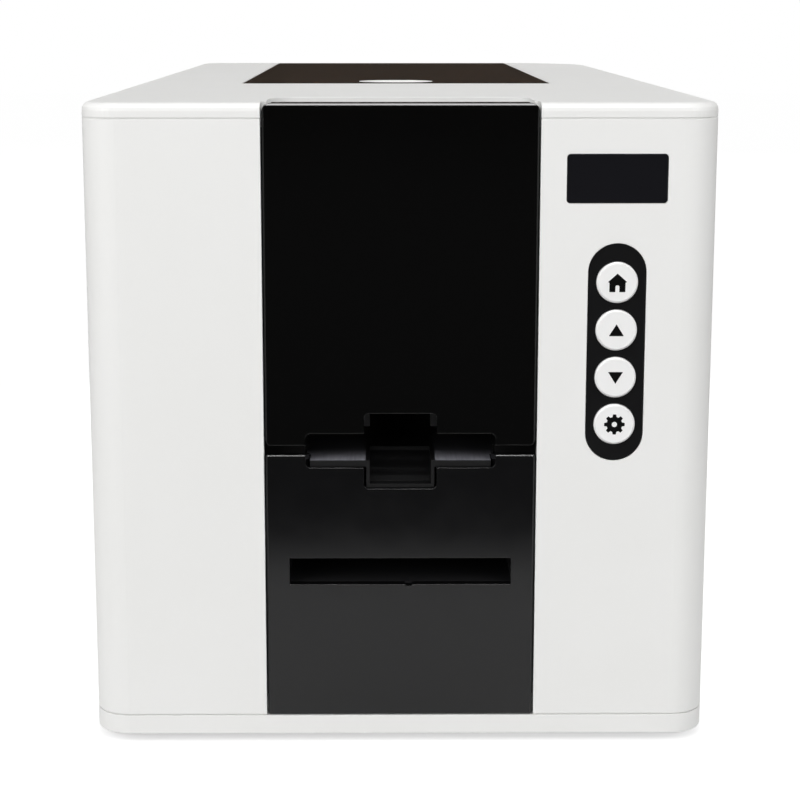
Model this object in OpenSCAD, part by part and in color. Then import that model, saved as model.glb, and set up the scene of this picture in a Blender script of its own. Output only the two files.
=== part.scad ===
// Desktop ID card printer: white moulded casing, black front strip with a hinged hopper door,
// card exit with a finger notch, reject slot, display and four keys, smoked ribbon bay lid.
// The front faces -Y, +X is to the right seen from the front, +Z is up, the feet stand on Z = 0.

/* [Casing] */
// Width of the casing
body_w = 188; // [180:1:200]
// Depth of the casing
body_d = 376; // [370:1:400]
// Height of the casing above its feet
body_h = 193; // [191:1:200]
// Wall of the white shells
wall = 2.6; // [2:0.1:3.2]
// Radius of the upright corners
corner_r = 11; // [8:1:16]
// Radius of the wide rear right corner
rear_corner_r = 40; // [30:1:44]
// Rounding of the top edge
edge_r = 2.4; // [1:0.1:3]
// Height of the top cover's skirt
skirt_h = 4.4; // [4:0.1:6]
// Height of the base tray's visible band
base_h = 5.85; // [5:0.1:8]
// Width of the fine seams between the shells
seam = 0.4; // [0.2:0.1:0.8]
// Depth of the rear cover from its seam to the back
rear_cover_d = 44; // [43:1:56]

/* [Feet] */
// Height of the rubber feet
foot_h = 3; // [2:0.5:4]
// Radius of the rubber feet
foot_r = 8; // [6:0.5:10]
// Distance of the feet from the casing's sides
foot_inset = 24; // [20:1:30]

/* [Front strip] */
// Width of the opening between the white front faces
strip_w = 81.7; // [80:0.1:84]
// Gap beside the door and the lower panel
strip_gap = 0.45; // [0.3:0.05:0.8]
// Thickness of the door and the lower panel
panel_t = 3; // [2.5:0.1:3.2]
// Height of the door's lower edge
door_z0 = 93.75; // [93:0.05:94.5]
// Height of the lower panel's upper edge
panel_z1 = 91.05; // [90.5:0.05:91.5]
// Bevel along the door's and the panel's edges
bevel = 0.6; // [0.4:0.1:1.2]
// Bevel along the edges where the door meets the lower panel
fine_bevel = 0.35; // [0.2:0.05:0.6]
// Depth of the flange along the door's top
door_flange = 8; // [6:0.5:9]

/* [Card exit] */
// Width of the card exit slot
exit_w = 57; // [56.5:0.1:58]
// Lower edge of the card exit slot
exit_z0 = 87.1; // [86.8:0.1:87.4]
// Upper edge of the card exit slot
exit_z1 = 97.65; // [97:0.05:98]
// Height of the shelf under the card
shelf_z = 89.25; // [89:0.05:89.5]
// Width of the finger notch
notch_w = 21.8; // [20:0.1:24]
// Lower end of the finger notch
notch_z0 = 80.6; // [80:0.1:82]
// Upper end of the finger notch
notch_z1 = 103.8; // [103:0.1:104.5]

/* [Reject slot] */
// Width of the reject slot
reject_w = 67; // [60:0.5:68]
// Lower edge of the reject slot
reject_z0 = 50.7; // [50:0.1:52]
// Upper edge of the reject slot
reject_z1 = 59; // [58:0.1:60]

/* [Display and keys] */
// Distance of the display's centre right of the middle
display_x = 63.3; // [62:0.1:65]
// Width of the display window
display_w = 29.4; // [28:0.1:31]
// Height of the display window
display_h = 14.25; // [13:0.05:16]
// Distance of the display's centre below the top
display_drop = 22.1; // [20:0.1:24]
// Distance of the keys right of the middle
key_x = 63.8; // [63:0.1:65]
// Distance of the lowest key's centre below the display's centre
key_drop = 73.35; // [73:0.05:75]
// Distance from key to key
key_pitch = 14.25; // [13.6:0.05:14.6]
// Diameter of a key
key_d = 12.2; // [11:0.1:12.6]
// Travel of a key
key_travel = 0.8; // [0.5:0.1:1]
// Width of the black key strip
key_strip_w = 17; // [16.5:0.1:20]
// Height of a key's face above the strip
key_proud = 0.9; // [0.5:0.1:1.2]

/* [Top lid] */
// Width of the smoked lid
lid_w = 111.5; // [108:0.5:114]
// Thickness of the smoked lid
lid_t = 3; // [2.5:0.1:3]
// Depth at which the lid's front edge lies
lid_s = 132; // [128:1:136]
// Radius of the rolled rear edge that the lid turns about
lid_barrel_r = 4.5; // [4:0.1:5]
// Gap round the lid
lid_gap = 0.5; // [0.3:0.1:0.8]
// Width of the thumb hole in the lid
thumb_w = 25; // [22:1:30]
// Depth of the thumb hole in the lid
thumb_d = 18; // [17:1:22]

/* [Card path] */
// Width of a card
card_w = 54; // [53.9:0.1:54.2]
// Height of the plane that a printed card travels on
path_z = 90; // [89.9:0.1:90.4]
// Height of the plane that the stacked cards lie on
stack_z = 107; // [106.5:0.1:107.5]
// Inner face of the chassis plates, from the middle
chassis_x = 48; // [47:0.5:49]
// Thickness of the steel chassis plates
chassis_t = 1.5; // [1.2:0.1:2]
// Radius of the roller shafts
shaft_r = 3; // [2.5:0.1:3]
// Clearance of a shaft in its bearing
run = 0.05; // [0.02:0.01:0.09]
// Free space round parts that only pass each other
clear = 0.3; // [0.3:0.1:0.5]

/* [Gears] */
// Module of the gear teeth
gear_m = 1; // [0.98:0.01:1.02]
// Backlash along the pitch circle
backlash = 0.3; // [0.2:0.05:0.4]

/* [Hidden] */
$fn = 64;

front_y = -body_d / 2;
rear_y = body_d / 2;
half_w = body_w / 2;
base_z = foot_h;
top_z = foot_h + body_h;
base_top = base_z + base_h;
skirt_z = top_z - skirt_h;
rear_seam_s = body_d - rear_cover_d;
display_z = top_z - display_drop;
key_z = display_z - key_drop;
strip_x = strip_w / 2;
panel_x = strip_x - strip_gap;
eps = 0.01;
white = "whitesmoke";
black = "#181818";
steel = "silver";

// The two ends of a width that lies about a centre.
function about(c, w) = [c - w / 2, c + w / 2];

// Depth behind the front face, as a Y coordinate.
function at(s) = front_y + s;

// Point on a circle.
function polar(r, a) = [r * cos(a), r * sin(a)];

// A cuboid between two corners.
module block(x, y, z) {
    translate([x[0], y[0], z[0]]) cube([x[1] - x[0], y[1] - y[0], z[1] - z[0]]);
}

// The same on both sides of the middle.
module both() {
    children();
    mirror([1, 0, 0]) children();
}

// An outline in Y and Z, extruded across the width.
module across(x) {
    translate([x[0], 0, 0]) rotate([90, 0, 90]) linear_extrude(height = x[1] - x[0]) children();
}

// An outline in X and Z, extruded towards the rear.
module deep(y) {
    translate([0, y[1], 0]) rotate([90, 0, 0]) linear_extrude(height = y[1] - y[0]) children();
}

// A round bar across the width.
module bar(x, y, z, r) {
    translate([x[0], y, z]) rotate([0, 90, 0]) cylinder(h = x[1] - x[0], r = r);
}

// A round bar towards the rear.
module peg(x, y, z, r) {
    translate([x, y[0], z]) rotate([-90, 0, 0]) cylinder(h = y[1] - y[0], r = r);
}

// A flat rectangle with round corners.
module soft_rect(x, y, r) {
    translate([x[0] + r, y[0]]) square([x[1] - x[0] - 2 * r, y[1] - y[0]]);
    translate([x[0], y[0] + r]) square([x[1] - x[0], y[1] - y[0] - 2 * r]);
    for (u = [x[0] + r, x[1] - r], v = [y[0] + r, y[1] - r]) translate([u, v]) circle(r);
}

// What is cut off a square corner to round it; u and v point into the corner.
module corner_cut(x, y, u, v, r, fn) {
    translate([x, y]) difference() {
        translate([u > 0 ? 0 : -r - 1, v > 0 ? 0 : -r - 1]) square(r + 1);
        circle(r, $fn = fn);
    }
}

// The casing's outline from above, drawn in by an inset.
module plan(inset = 0, fn = $fn) {
    r = corner_r - inset;
    big = rear_corner_r - inset;
    x = half_w - inset;
    difference() {
        translate([-x, front_y + inset]) square([2 * x, body_d - 2 * inset]);
        corner_cut(-x + r, front_y + inset + r, -1, -1, r, fn);
        corner_cut(x - r, front_y + inset + r, 1, -1, r, fn);
        corner_cut(-x + r, rear_y - inset - r, -1, 1, r, fn);
        corner_cut(x - big, rear_y - inset - big, 1, 1, big, fn);
    }
}

// A slab with the casing's outline.
module slab(z, inset = 0) {
    translate([0, 0, z[0]]) linear_extrude(height = z[1] - z[0]) plan(inset);
}

// The casing's wall between two heights.
module shell(z, inset = 0, t = wall) {
    difference() {
        slab(z, inset);
        slab([z[0] - 1, z[1] + 1], inset + t);
    }
}

// A screw post with its pilot hole.
module post(x, y, z, r = 3.5, hole = 1.3) {
    translate([x, y, z[0]]) difference() {
        cylinder(h = z[1] - z[0], r = r);
        translate([0, 0, 1.2]) cylinder(h = z[1] - z[0], r = hole);
    }
}

// Base tray with a locating rim, seats for the feet and posts for the chassis
floor_t = 2.5;
rim_h = 5;
rim_t = 2;
rim_inset = wall + 0.6;
chassis_s = [16, body_d - 24];
chassis_foot = 9;
post_s = [chassis_s[0] + 24, chassis_s[1] - 32];
post_x = chassis_x + chassis_t + chassis_foot / 2;
post_z = base_z + floor_t + 3;
foot_pin_r = 3;
vent_s = 150;
vent_w = 4;
vent_pitch = 14;
module at_feet() {
    for (x = [-1, 1], s = [foot_inset, body_d - foot_inset - rear_corner_r / 4])
        translate([x * (half_w - foot_inset), at(s), 0]) children();
}
module base_tray() {
    color(white) difference() {
        union() {
            slab([base_z, base_z + floor_t]);
            shell([base_z, base_top]);
            shell([base_z, base_top + rim_h], rim_inset, rim_t);
            shell([base_z, base_top], wall - eps, 0.4);
            for (x = [-post_x, post_x], s = post_s) post(x, at(s), [base_z + 1, post_z]);
        }
        at_feet() translate([0, 0, base_z - 1]) cylinder(h = floor_t + 2, r = foot_pin_r + run);
        for (k = [0:7]) block([-30, 30], [at(vent_s + vent_pitch * k), at(vent_s + vent_w + vent_pitch * k)],
            [base_z - 1, base_z + floor_t + 1]);
    }
}
module rubber_feet() {
    color(black) at_feet() {
        cylinder(h = foot_h, r = foot_r);
        cylinder(h = foot_h + floor_t, r = foot_pin_r);
    }
}

// Side covers: each wraps from the black strip round the front corner to the rear seam
display_clear = 0.15;
key_strip_z = [key_z - 11.15, key_z + 3 * key_pitch + 11.5];
module display_outline(grow = 0) {
    soft_rect([display_x - display_w / 2 - grow, display_x + display_w / 2 + grow],
        [display_z - display_h / 2 - grow, display_z + display_h / 2 + grow], 1 + grow);
}
module key_outline(grow = 0) {
    soft_rect([key_x - key_strip_w / 2 - grow, key_x + key_strip_w / 2 + grow],
        [key_strip_z[0] - grow, key_strip_z[1] + grow], key_strip_w / 2 + grow - eps);
}
cover_z = [base_top + seam, skirt_z - seam];
lug_z = [cover_z[0] + 30, cover_z[1] - 31];
module half_cover() {
    difference() {
        shell(cover_z);
        block([-half_w - 1, strip_x], [front_y - 1, rear_y + 1], [0, top_z]);
        block([-half_w, half_w + 1], [at(rear_seam_s), rear_y + 1], [0, top_z]);
    }
    for (s = [110, 200, rear_seam_s - 42], z = lug_z) {
        difference() {
            block([half_w - wall - 7, half_w - wall + eps], [at(s), at(s + wall)], [z - 6, z + 6]);
            peg(half_w - wall - 4, [at(s - 1), at(s + wall + 1)], z, 1.4);
        }
    }
}
module left_cover() {
    color(white) mirror([1, 0, 0]) half_cover();
}
module right_cover() {
    color(white) difference() {
        union() {
            half_cover();
            for (x = board_fix_x, z = board_fix_z) peg(x, [at(wall - eps), at(board_back)], z, 2);
        }
        deep([front_y - 1, at(wall + 2)]) display_outline(display_clear);
        deep([front_y - 1, at(wall + 2)]) key_outline(display_clear);
    }
}

// Rear cover with a vent grille, openings for the sockets and lugs for the screws
board_x = -half_w + 16;
port_x = board_x + 10;
jack_z = 34;
usb_z = 62;
lan_z = 92;
usb_size = [8.5, 7.8];
lan_size = [11.7, 8.2];
jack_r = 3.3;
fan_x = 12;
fan_z = 70;
fan_size = 40;
rocker_x = -34;
rocker_size = [13.4, 19.4];
trough_r = lid_barrel_r + lid_gap;
lid_axis_s = body_d - lid_barrel_r;
lid_axis_z = top_z - lid_barrel_r;
lid_x = lid_w / 2;
ledge_w = 3.5;
trough_x = lid_x + lid_gap + ledge_w;
trough_z = lid_axis_z - trough_r - 2;
module rear_cover() {
    color(white) difference() {
        union() {
            difference() {
                shell(cover_z);
                block([-half_w - 1, half_w + 1], [front_y - 1, at(rear_seam_s + seam)], [0, top_z]);
            }
            for (x = [-half_w + wall - eps, half_w - wall - 6]) difference() {
                block([x, x + 6], [at(rear_seam_s + seam), at(rear_seam_s + 6)], [60, 130]);
                for (z = [70, 120]) peg(x + 3, [at(rear_seam_s), at(rear_seam_s + 7)], z, 1.4);
            }
        }
        for (k = [-6:6]) deep([rear_y - wall - 1, rear_y + 1])
            soft_rect([fan_x - 24, fan_x + 24], [fan_z + 4 * k - 1, fan_z + 4 * k + 1], 0.99);
        deep([rear_y - wall - 1, rear_y + 1]) {
            translate([port_x, jack_z]) circle(jack_r + 1.2);
            translate([port_x, usb_z]) square(usb_size + [2.4, 2.4], center = true);
            translate([port_x, lan_z]) square(lan_size + [3.4, 3.4], center = true);
            translate([rocker_x, jack_z]) square(rocker_size + [0.2, 0.2], center = true);
        }
        block([-trough_x - seam, trough_x + seam], [rear_y - wall - 8, rear_y + 1], [trough_z - seam, top_z]);
    }
}

// Top cover: rolled top edge, opening for the lid with a ledge, thumb cup whose rim stands up
// through the lid, and the finger pocket behind the door
cup_s = lid_s + 10.5;
bay_s = lid_s + 36;
bay_rear_s = body_d - 16;
pocket_s = 29;
pocket_x = 39.5;
deck_t = wall;
edge_steps = 4;
module rolled_slab(z) {
    hull() for (k = [0:edge_steps]) {
        a = 90 * k / edge_steps;
        lift = z[1] - edge_r * (1 - sin(a));
        translate([0, 0, k == 0 ? z[0] : lift - eps]) linear_extrude(height = k == 0 ? lift - z[0] : eps)
            plan(edge_r * (1 - cos(a)), 48);
    }
}
cup_rim = 1.2;
cup_r = 8.5;
module cup_outline(grow = 0) {
    soft_rect([-thumb_w / 2 - grow, thumb_w / 2 + grow],
        [at(cup_s) - grow, at(cup_s + thumb_d) + grow], cup_r + grow);
}
module cup_ring() {
    translate([0, 0, top_z - lid_t - 1]) linear_extrude(height = lid_t + 1) difference() {
        cup_outline(cup_rim);
        cup_outline();
    }
}
module top_cover() {
    lid_half = lid_x + lid_gap;
    color(white) cup_ring();
    color(white) difference() {
        union() {
            difference() {
                rolled_slab([skirt_z, top_z]);
                slab([skirt_z - 1, top_z - deck_t], wall);
            }
            difference() {
                shell([skirt_z - 3, top_z - deck_t + eps], rim_inset, rim_t);
                block([-half_w, half_w], [at(rear_seam_s - 4), at(rear_seam_s + 10)], [0, skirt_z]);
            }
            block([-trough_x, trough_x], [at(lid_axis_s - 9), rear_y], [trough_z, top_z - edge_r]);
            shell([skirt_z, top_z - deck_t + eps], wall - eps, 0.4);
            block([-lid_half - ledge_w, lid_half + ledge_w], [at(lid_s - 4), at(bay_rear_s + 2)],
                [top_z - lid_t - 3, top_z - deck_t + eps]);
            block([-thumb_w / 2 - 3, thumb_w / 2 + 3], [at(cup_s - 3), at(bay_s - 2)],
                [top_z - lid_t - 8, top_z - lid_t - 1]);
        }
        block([-lid_half, lid_half], [at(lid_s - lid_gap), rear_y + 1], [top_z - lid_t - 0.2, top_z + 1]);
        block([-lid_half + ledge_w, lid_half - ledge_w], [at(bay_s), at(bay_rear_s)], [skirt_z - 12, top_z]);
        bar([-lid_half, lid_half], at(lid_axis_s), lid_axis_z, trough_r);
        block([-lid_half, lid_half], [at(lid_axis_s), rear_y + 1], [lid_axis_z, top_z + 1]);
        translate([0, 0, top_z - lid_t - 6]) linear_extrude(height = 10) cup_outline();
        block([-strip_x, strip_x], [front_y - 1, at(door_flange + 1)], [0, top_z + 1]);
        translate([0, 0, skirt_z - 12]) linear_extrude(height = 30)
            soft_rect([-pocket_x, pocket_x], [front_y, at(pocket_s)], 6);
        both() bar([lid_x - 2, lid_half + ledge_w + 1], at(lid_axis_s), lid_axis_z, pin_r + run);
    }
}

// Front frame: black moulding behind the strip, with the slot openings, door hinge eyes and pocket
door_axis_s = 5;
door_axis_z = door_z0 + 3.25;
pin_r = 1.5;
frame_s = [9.5, 12];
hopper_x = card_w / 2 + 0.4;
hopper_t = 2;
frame_side = [strip_x + 0.5, strip_x + 3];
frame_z = [base_z + floor_t, skirt_z - 1.7];
liner_x = 9.2;
liner_z = 101.9;
pocket_z = top_z - 8.5;
hopper_z1 = pocket_z - 3.5;
module front_frame() {
    color(black) difference() {
        union() {
            deep([at(frame_s[0]), at(frame_s[1])]) translate([-frame_side[1], frame_z[0]])
                square([2 * frame_side[1], frame_z[1] - frame_z[0]]);
            both() block(frame_side, [at(wall + 0.2), at(frame_s[0] + eps)],
                [base_top + rim_h + clear, skirt_z - 3 - clear]);
            block([-frame_side[1], frame_side[1]], [at(frame_s[0]), at(pocket_s + 2)],
                [pocket_z - 1.5, pocket_z]);
            block([-frame_side[1], frame_side[1]], [at(pocket_s + 0.5), at(pocket_s + 2)],
                [pocket_z - eps, frame_z[1]]);
            both() block([pocket_x + 0.5, frame_side[1]], [at(frame_s[0]), at(pocket_s + 2)],
                [pocket_z - eps, frame_z[1]]);
        }
        deep([at(frame_s[0] - 1), at(frame_s[1] + 1)]) {
            translate([-hopper_x - hopper_t - clear, stack_z - 4])
                square([2 * (hopper_x + hopper_t + clear), hopper_z1 + 1 - stack_z + 4]);
            translate([-exit_w / 2 - 0.5, exit_z0 - 4]) square([exit_w + 1, exit_z1 - exit_z0 + 4]);
            translate([-liner_x, exit_z0]) square([2 * liner_x, liner_z - exit_z0]);
            translate([-scoop_x - clear, notch_z0 - clear]) square([2 * (scoop_x + clear), 10]);
            translate([-chute_x - 2 - clear, reject_z0 - 3]) square([2 * (chute_x + 2 + clear), 20]);
        }
        block([-pocket_x, pocket_x], [at(frame_s[0] - 1), at(pocket_s)], [pocket_z, top_z]);
        block([-panel_x, panel_x], [at(frame_s[0] - 1), at(frame_s[1] + 1)], [pocket_z, top_z]);
        both() bar([frame_side[0] - 1, frame_side[1] + 1], at(door_axis_s), door_axis_z, pin_r + run);
    }
}

// Front door and lower panel share one bevelled plate form, cut by the slot and the notch
module bevel_plate(z, r, low, high) {
    b = bevel;
    intersection() {
        deep([front_y, at(panel_t)]) soft_rect([-panel_x, panel_x], z, r);
        across([-panel_x, panel_x]) polygon([[at(low), z[0]], [at(panel_t), z[0]], [at(panel_t), z[1]],
            [at(high), z[1]], [front_y, z[1] - high], [front_y, z[0] + low]]);
        translate([0, 0, z[0]]) linear_extrude(height = z[1] - z[0]) polygon([[-panel_x, at(panel_t)],
            [-panel_x, at(b)], [-panel_x + b, front_y], [panel_x - b, front_y], [panel_x, at(b)],
            [panel_x, at(panel_t)]]);
    }
}
funnel = 1.2;
slot_r = 1.7;
module exit_cut(depth) {
    x = exit_w / 2;
    intersection() {
        translate([0, 0, exit_z0]) linear_extrude(height = exit_z1 - exit_z0)
            polygon([[-x, front_y - 1], [x, front_y - 1], [x, front_y], [x - funnel, at(panel_t)],
                [x - funnel, at(depth)], [-x + funnel, at(depth)], [-x + funnel, at(panel_t)],
                [-x, front_y]]);
        deep([front_y - 1, at(depth)]) soft_rect([-x, x], [exit_z0, exit_z1], slot_r);
    }
    deep([front_y - 1, at(depth)])
        soft_rect([-notch_w / 2, notch_w / 2], [notch_z0, notch_z1], 1.6);
}
door_z1 = top_z - 0.2;
door_cut_s = 9;
module front_door() {
    color(black) difference() {
        union() {
            bevel_plate([door_z0, door_z1], 2.4, fine_bevel, bevel);
            block([-panel_x + 2.5, panel_x - 2.5], [at(panel_t - eps), at(door_flange)],
                [door_z1 - 2, door_z1]);
            for (x = [-panel_x + 2, -12, 12 - 1.5, panel_x - 3.5]) across([x, x + 1.5])
                polygon([[at(panel_t - eps), door_z1 - 1], [at(door_flange), door_z1 - 1],
                    [at(door_flange), door_z1 - 2], [at(panel_t - eps), door_z1 - 9]]);
            both() {
                bar([panel_x - 4, panel_x], at(door_axis_s), door_axis_z, 3);
                bar([panel_x - eps, frame_side[1] - 0.3], at(door_axis_s), door_axis_z, pin_r);
                block([panel_x - 4, panel_x], [at(panel_t - eps), at(door_axis_s + 3)],
                    [door_axis_z, door_axis_z + 9]);
            }
        }
        exit_cut(door_cut_s);
    }
}
liner_t = 1.6;
liner_z0 = notch_z1 + 2;
module door_liner() {
    x = panel_x - 5;
    color("#2a2a2a") {
        deep([at(panel_t + 0.1), at(panel_t + 0.1 + liner_t)]) difference() {
            soft_rect([-x, x], [liner_z0, door_z1 - 11], 3);
            for (u = [-x + 4, x - 4], v = [liner_z0 + 5, door_z1 - 16]) translate([u, v]) circle(1.6);
        }
        for (k = [-3:3]) block(about(9 * k, 1.2), [at(panel_t + liner_t), at(panel_t + liner_t + 2.4)],
            [liner_z0 + 8, door_z1 - 20]);
    }
}
module lower_panel() {
    color("#202020") difference() {
        union() {
            bevel_plate([base_top + clear, panel_z1], 0.8, fine_bevel, fine_bevel);
            for (z = [base_top + rim_h + 2, reject_z0 - 7, reject_z1 + 5]) block([-panel_x + 4, panel_x - 4],
                [at(panel_t - eps), at(panel_t + 3)], [z, z + 1.5]);
            both() for (z = [20, 70]) peg(panel_x - 8, [at(panel_t - eps), at(frame_s[0])], z, 3);
        }
        exit_cut(door_cut_s);
        block([-reject_w / 2, reject_w / 2], [front_y - 1, at(8)], [reject_z0, reject_z1]);
        block([1.5, 3.5], [front_y - 1, at(panel_t + 1)], [reject_z0 - 0.5, reject_z0 + eps]);
    }
}

// Card shelf with a hollowed finger scoop and a window for the exit pinch roller
shelf_t = 2;
scoop_s = 18.5;
scoop_x = 10.4;
scoop_z = notch_z0 + 1.4;
shelf_s = [0.8, 84];
module card_shelf() {
    color(black) difference() {
        union() {
            block([-exit_w / 2 + funnel + 0.2, exit_w / 2 - funnel - 0.2], [at(shelf_s[0]), at(8)],
                [shelf_z - shelf_t, shelf_z]);
            block([-hopper_x - 1, hopper_x + 1], [at(8), at(shelf_s[1])], [shelf_z - shelf_t, shelf_z]);
            block([-scoop_x + 0.2, scoop_x - 0.2], [at(shelf_s[0]), at(scoop_s + 2)],
                [notch_z0 + 0.2, shelf_z]);
            both() block([hopper_x + 1 - eps, chassis_x], [at(30), at(46)], [shelf_z - shelf_t, shelf_z]);
            both() block([hopper_x + 1 - eps, hopper_x + 2.6], [at(13), at(shelf_s[1])],
                [shelf_z - shelf_t, shelf_z + 3]);
        }
        across([-liner_x, liner_x]) polygon([[at(shelf_s[0] - 1), scoop_z], [at(4), scoop_z],
            [at(scoop_s - 1.5), shelf_z - 1], [at(scoop_s), shelf_z + 1], [at(shelf_s[0] - 1), shelf_z + 1]]);
        block(about(0, 2 * exit_half + 2), [at(exit_s - exit_r - 1), at(exit_s + exit_r + 1)],
            [shelf_z - shelf_t - 1, shelf_z + 1]);
    }
}

// Reject chute: floor that runs down from the card path to the slot, with side walls
chute_x = reject_w / 2 + 0.5;
chute_rear = 178;
chute_bend = 72;
chute_z = reject_z0 - 0.3;
chute_top = 82;
module reject_chute() {
    color("#303030") {
        across([-chute_x - 1, chute_x + 1]) polygon([[at(panel_t + 0.3), chute_z], [at(chute_bend), chute_z],
            [at(chute_rear), chute_top], [at(chute_rear), chute_top - 2], [at(chute_bend), chute_z - 2],
            [at(panel_t + 0.3), chute_z - 2]]);
        both() across([chute_x, chute_x + 2]) polygon([[at(frame_s[0]), chute_z - 2],
            [at(chute_bend), chute_z - 2], [at(chute_rear), chute_top - 2], [at(chute_rear), chute_top + 4],
            [at(chute_bend), chute_z + 13], [at(frame_s[0]), chute_z + 13]]);
        both() for (s = [40, 130]) block([chute_x + 1, chassis_x],
            [at(s), at(s + 8)], [s < 100 ? chute_z - 2 : chute_z + 12, s < 100 ? chute_z + 2 : chute_z + 16]);
    }
}

// Display window, flush with the front
window_t = 1.6;
window_back = 0.3;
module display_window() {
    color("#101014") deep([at(window_back), at(window_back + window_t)]) display_outline();
}

// Keys: strip let into the right cover, four caps with flanges behind it, and the board behind them
strip_t = 2;
key_flange = 1;
strip_back = wall + 1.1;
flange_s = strip_back + 0.1;
key_r = key_d / 2;
module key_strip() {
    color(black) difference() {
        union() {
            deep([at(0.2), at(0.2 + strip_t)]) key_outline();
            deep([at(wall + 0.1), at(strip_back)]) soft_rect(about(key_x, key_strip_w + 4),
                key_strip_z + [-2, 2], key_strip_w / 2 + 1.9);
            deep([at(0.2 + strip_t - eps), at(wall + 0.1 + eps)]) key_outline(-1);
        }
        for (k = [0:3]) peg(key_x, [front_y - 1, at(wall + 3)], key_z + k * key_pitch, key_r + 0.2);
    }
}
module key_cap(k) {
    z = key_z + k * key_pitch;
    color("white") difference() {
        union() {
            peg(key_x, [at(0.2 - key_proud), at(flange_s + key_flange)], z, key_r);
            peg(key_x, [at(flange_s), at(flange_s + key_flange)], z, key_r + 0.7);
        }
        translate([key_x, at(0.2 - key_proud), z]) rotate([-90, 0, 0]) difference() {
            translate([0, 0, -1]) cylinder(h = 1.5, r = key_r + 1);
            translate([0, 0, -1.1]) cylinder(h = 1.7, r1 = key_r - 1.6, r2 = key_r + 0.1);
        }
    }
}
module home_button() { key_cap(3); }
module up_button() { key_cap(2); }
module down_button() { key_cap(1); }
module settings_button() { key_cap(0); }
board_s = flange_s + key_flange + key_travel + clear;
board_back = board_s + 2;
board_fix_x = [display_x - 15, display_x + 14];
board_fix_z = [key_z - 5, display_z - 14];
module front_board() {
    z = [display_z - display_h / 2 - 3, display_z + display_h / 2 + 3];
    x = [display_x - display_w / 2 - 2.5, display_x + display_w / 2 + 2.5];
    color("#123018") block([display_x - 18, display_x + 17], [at(board_back), at(board_back + 1.6)],
        [key_z - 9, z[1]]);
    color("#202020") block(x, [at(wall + clear), at(board_back + eps)], z);
    color("#202020") block(x + [3.2, -3.2], [at(window_back + window_t), at(wall + clear + eps)],
        z + [3.2, -3.2]);
    color("dimgray") for (k = [0:3]) {
        key = key_z + k * key_pitch;
        block([key_x - 3, key_x + 3], [at(board_s + 0.6), at(board_back + eps)], [key - 3, key + 3]);
        peg(key_x, [at(board_s), at(board_s + 1)], key, 1.7);
    }
}

// Smoked lid: flat plate whose rolled rear edge turns in the top cover's trough
lid_z = [top_z - lid_t, top_z];
module top_lid() {
    color("#2a2522") difference() {
        union() {
            block([-lid_x, lid_x], [at(lid_s), at(lid_axis_s)], lid_z);
            bar([-lid_x, lid_x], at(lid_axis_s), lid_axis_z, lid_barrel_r);
            both() bar([lid_x - eps, trough_x - 0.5], at(lid_axis_s), lid_axis_z, pin_r);
        }
        translate([0, 0, lid_z[0] - 1]) linear_extrude(height = lid_t + 2) cup_outline(cup_rim + clear);
        translate([0, 0, lid_z[0] - 1]) difference() {
            block([-lid_x - 1, lid_x + 1], [at(lid_s) - 1, at(lid_s + 4)], [0, lid_t + 2]);
            linear_extrude(height = lid_t + 2) soft_rect([-lid_x, lid_x], [at(lid_s), at(lid_s + 40)], 2);
        }
    }
}

// Lid frame: ribbed moulding under the lid that carries the print head's bracket
tub_x = 44;
frame_x = tub_x - 1.5;
lid_frame_s = [bay_s + 4, bay_rear_s - 6];
lid_frame_z = [lid_z[0] - 7, lid_z[0] - 0.1];
head_s = bay_s + 77;
arm_x = [32, 34.5];
frame_rib = 2.5;
module lid_frame() {
    cell = (lid_frame_s[1] - lid_frame_s[0] - frame_rib) / 4;
    color("#333333") difference() {
        block([-frame_x, frame_x], [at(lid_frame_s[0]), at(lid_frame_s[1])], lid_frame_z);
        for (k = [0:3], x = [[-frame_x + frame_rib, -36.5], [-22.5, 22.5], [36.5, frame_x - frame_rib]])
            block(x, [at(lid_frame_s[0] + frame_rib + cell * k), at(lid_frame_s[0] + cell * (k + 1))],
                [lid_frame_z[0] - 1, lid_frame_z[1] - 2]);
    }
}

// Print head on the lid: bracket, finned heat sink with the ceramic strip, two springs
head_z = path_z + 1.5;
sink_s = [head_s - 9, head_s + 14];
sink_z = [head_z + 2, head_z + 24];
bracket_z = sink_z[1] + 12;
float_z = 1.5;
spring_r = 4;
wire_r = 0.5;
spring_x = 20;
module head_bracket() {
    color(steel) difference() {
        union() {
            both() across(arm_x) polygon([[at(head_s - 4), lid_frame_z[0]], [at(head_s + 40), lid_frame_z[0]],
                [at(head_s + 12), sink_z[0]], [at(head_s - 4), sink_z[0]]]);
            block([-arm_x[1], arm_x[1]], [at(head_s - 4), at(head_s + 12)], [bracket_z, bracket_z + 1.5]);
            both() block([arm_x[0] - 8, arm_x[1]], [at(head_s - 4), at(head_s + 40)],
                [lid_frame_z[0] - 1.5, lid_frame_z[0]]);
        }
        both() deep_slot([arm_x[0] - 1, arm_x[1] + 1], at(head_s + 4), sink_z[0] + 4, 2, float_z + 0.2);
        for (s = [8, 24]) both() translate([arm_x[0] - 4, at(head_s + s), lid_frame_z[0] - 2])
            cylinder(h = 3, r = 1.3);
    }
}
module deep_slot(x, y, z, r, travel) {
    bar(x, y, z, r + 0.1);
    bar(x, y, z + travel, r + 0.1);
    block(x, [y - r - 0.1, y + r + 0.1], [z, z + travel]);
}
fin_pitch = 2.8;
fin_gap = 1.5;
seat_h = 0.3;
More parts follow.
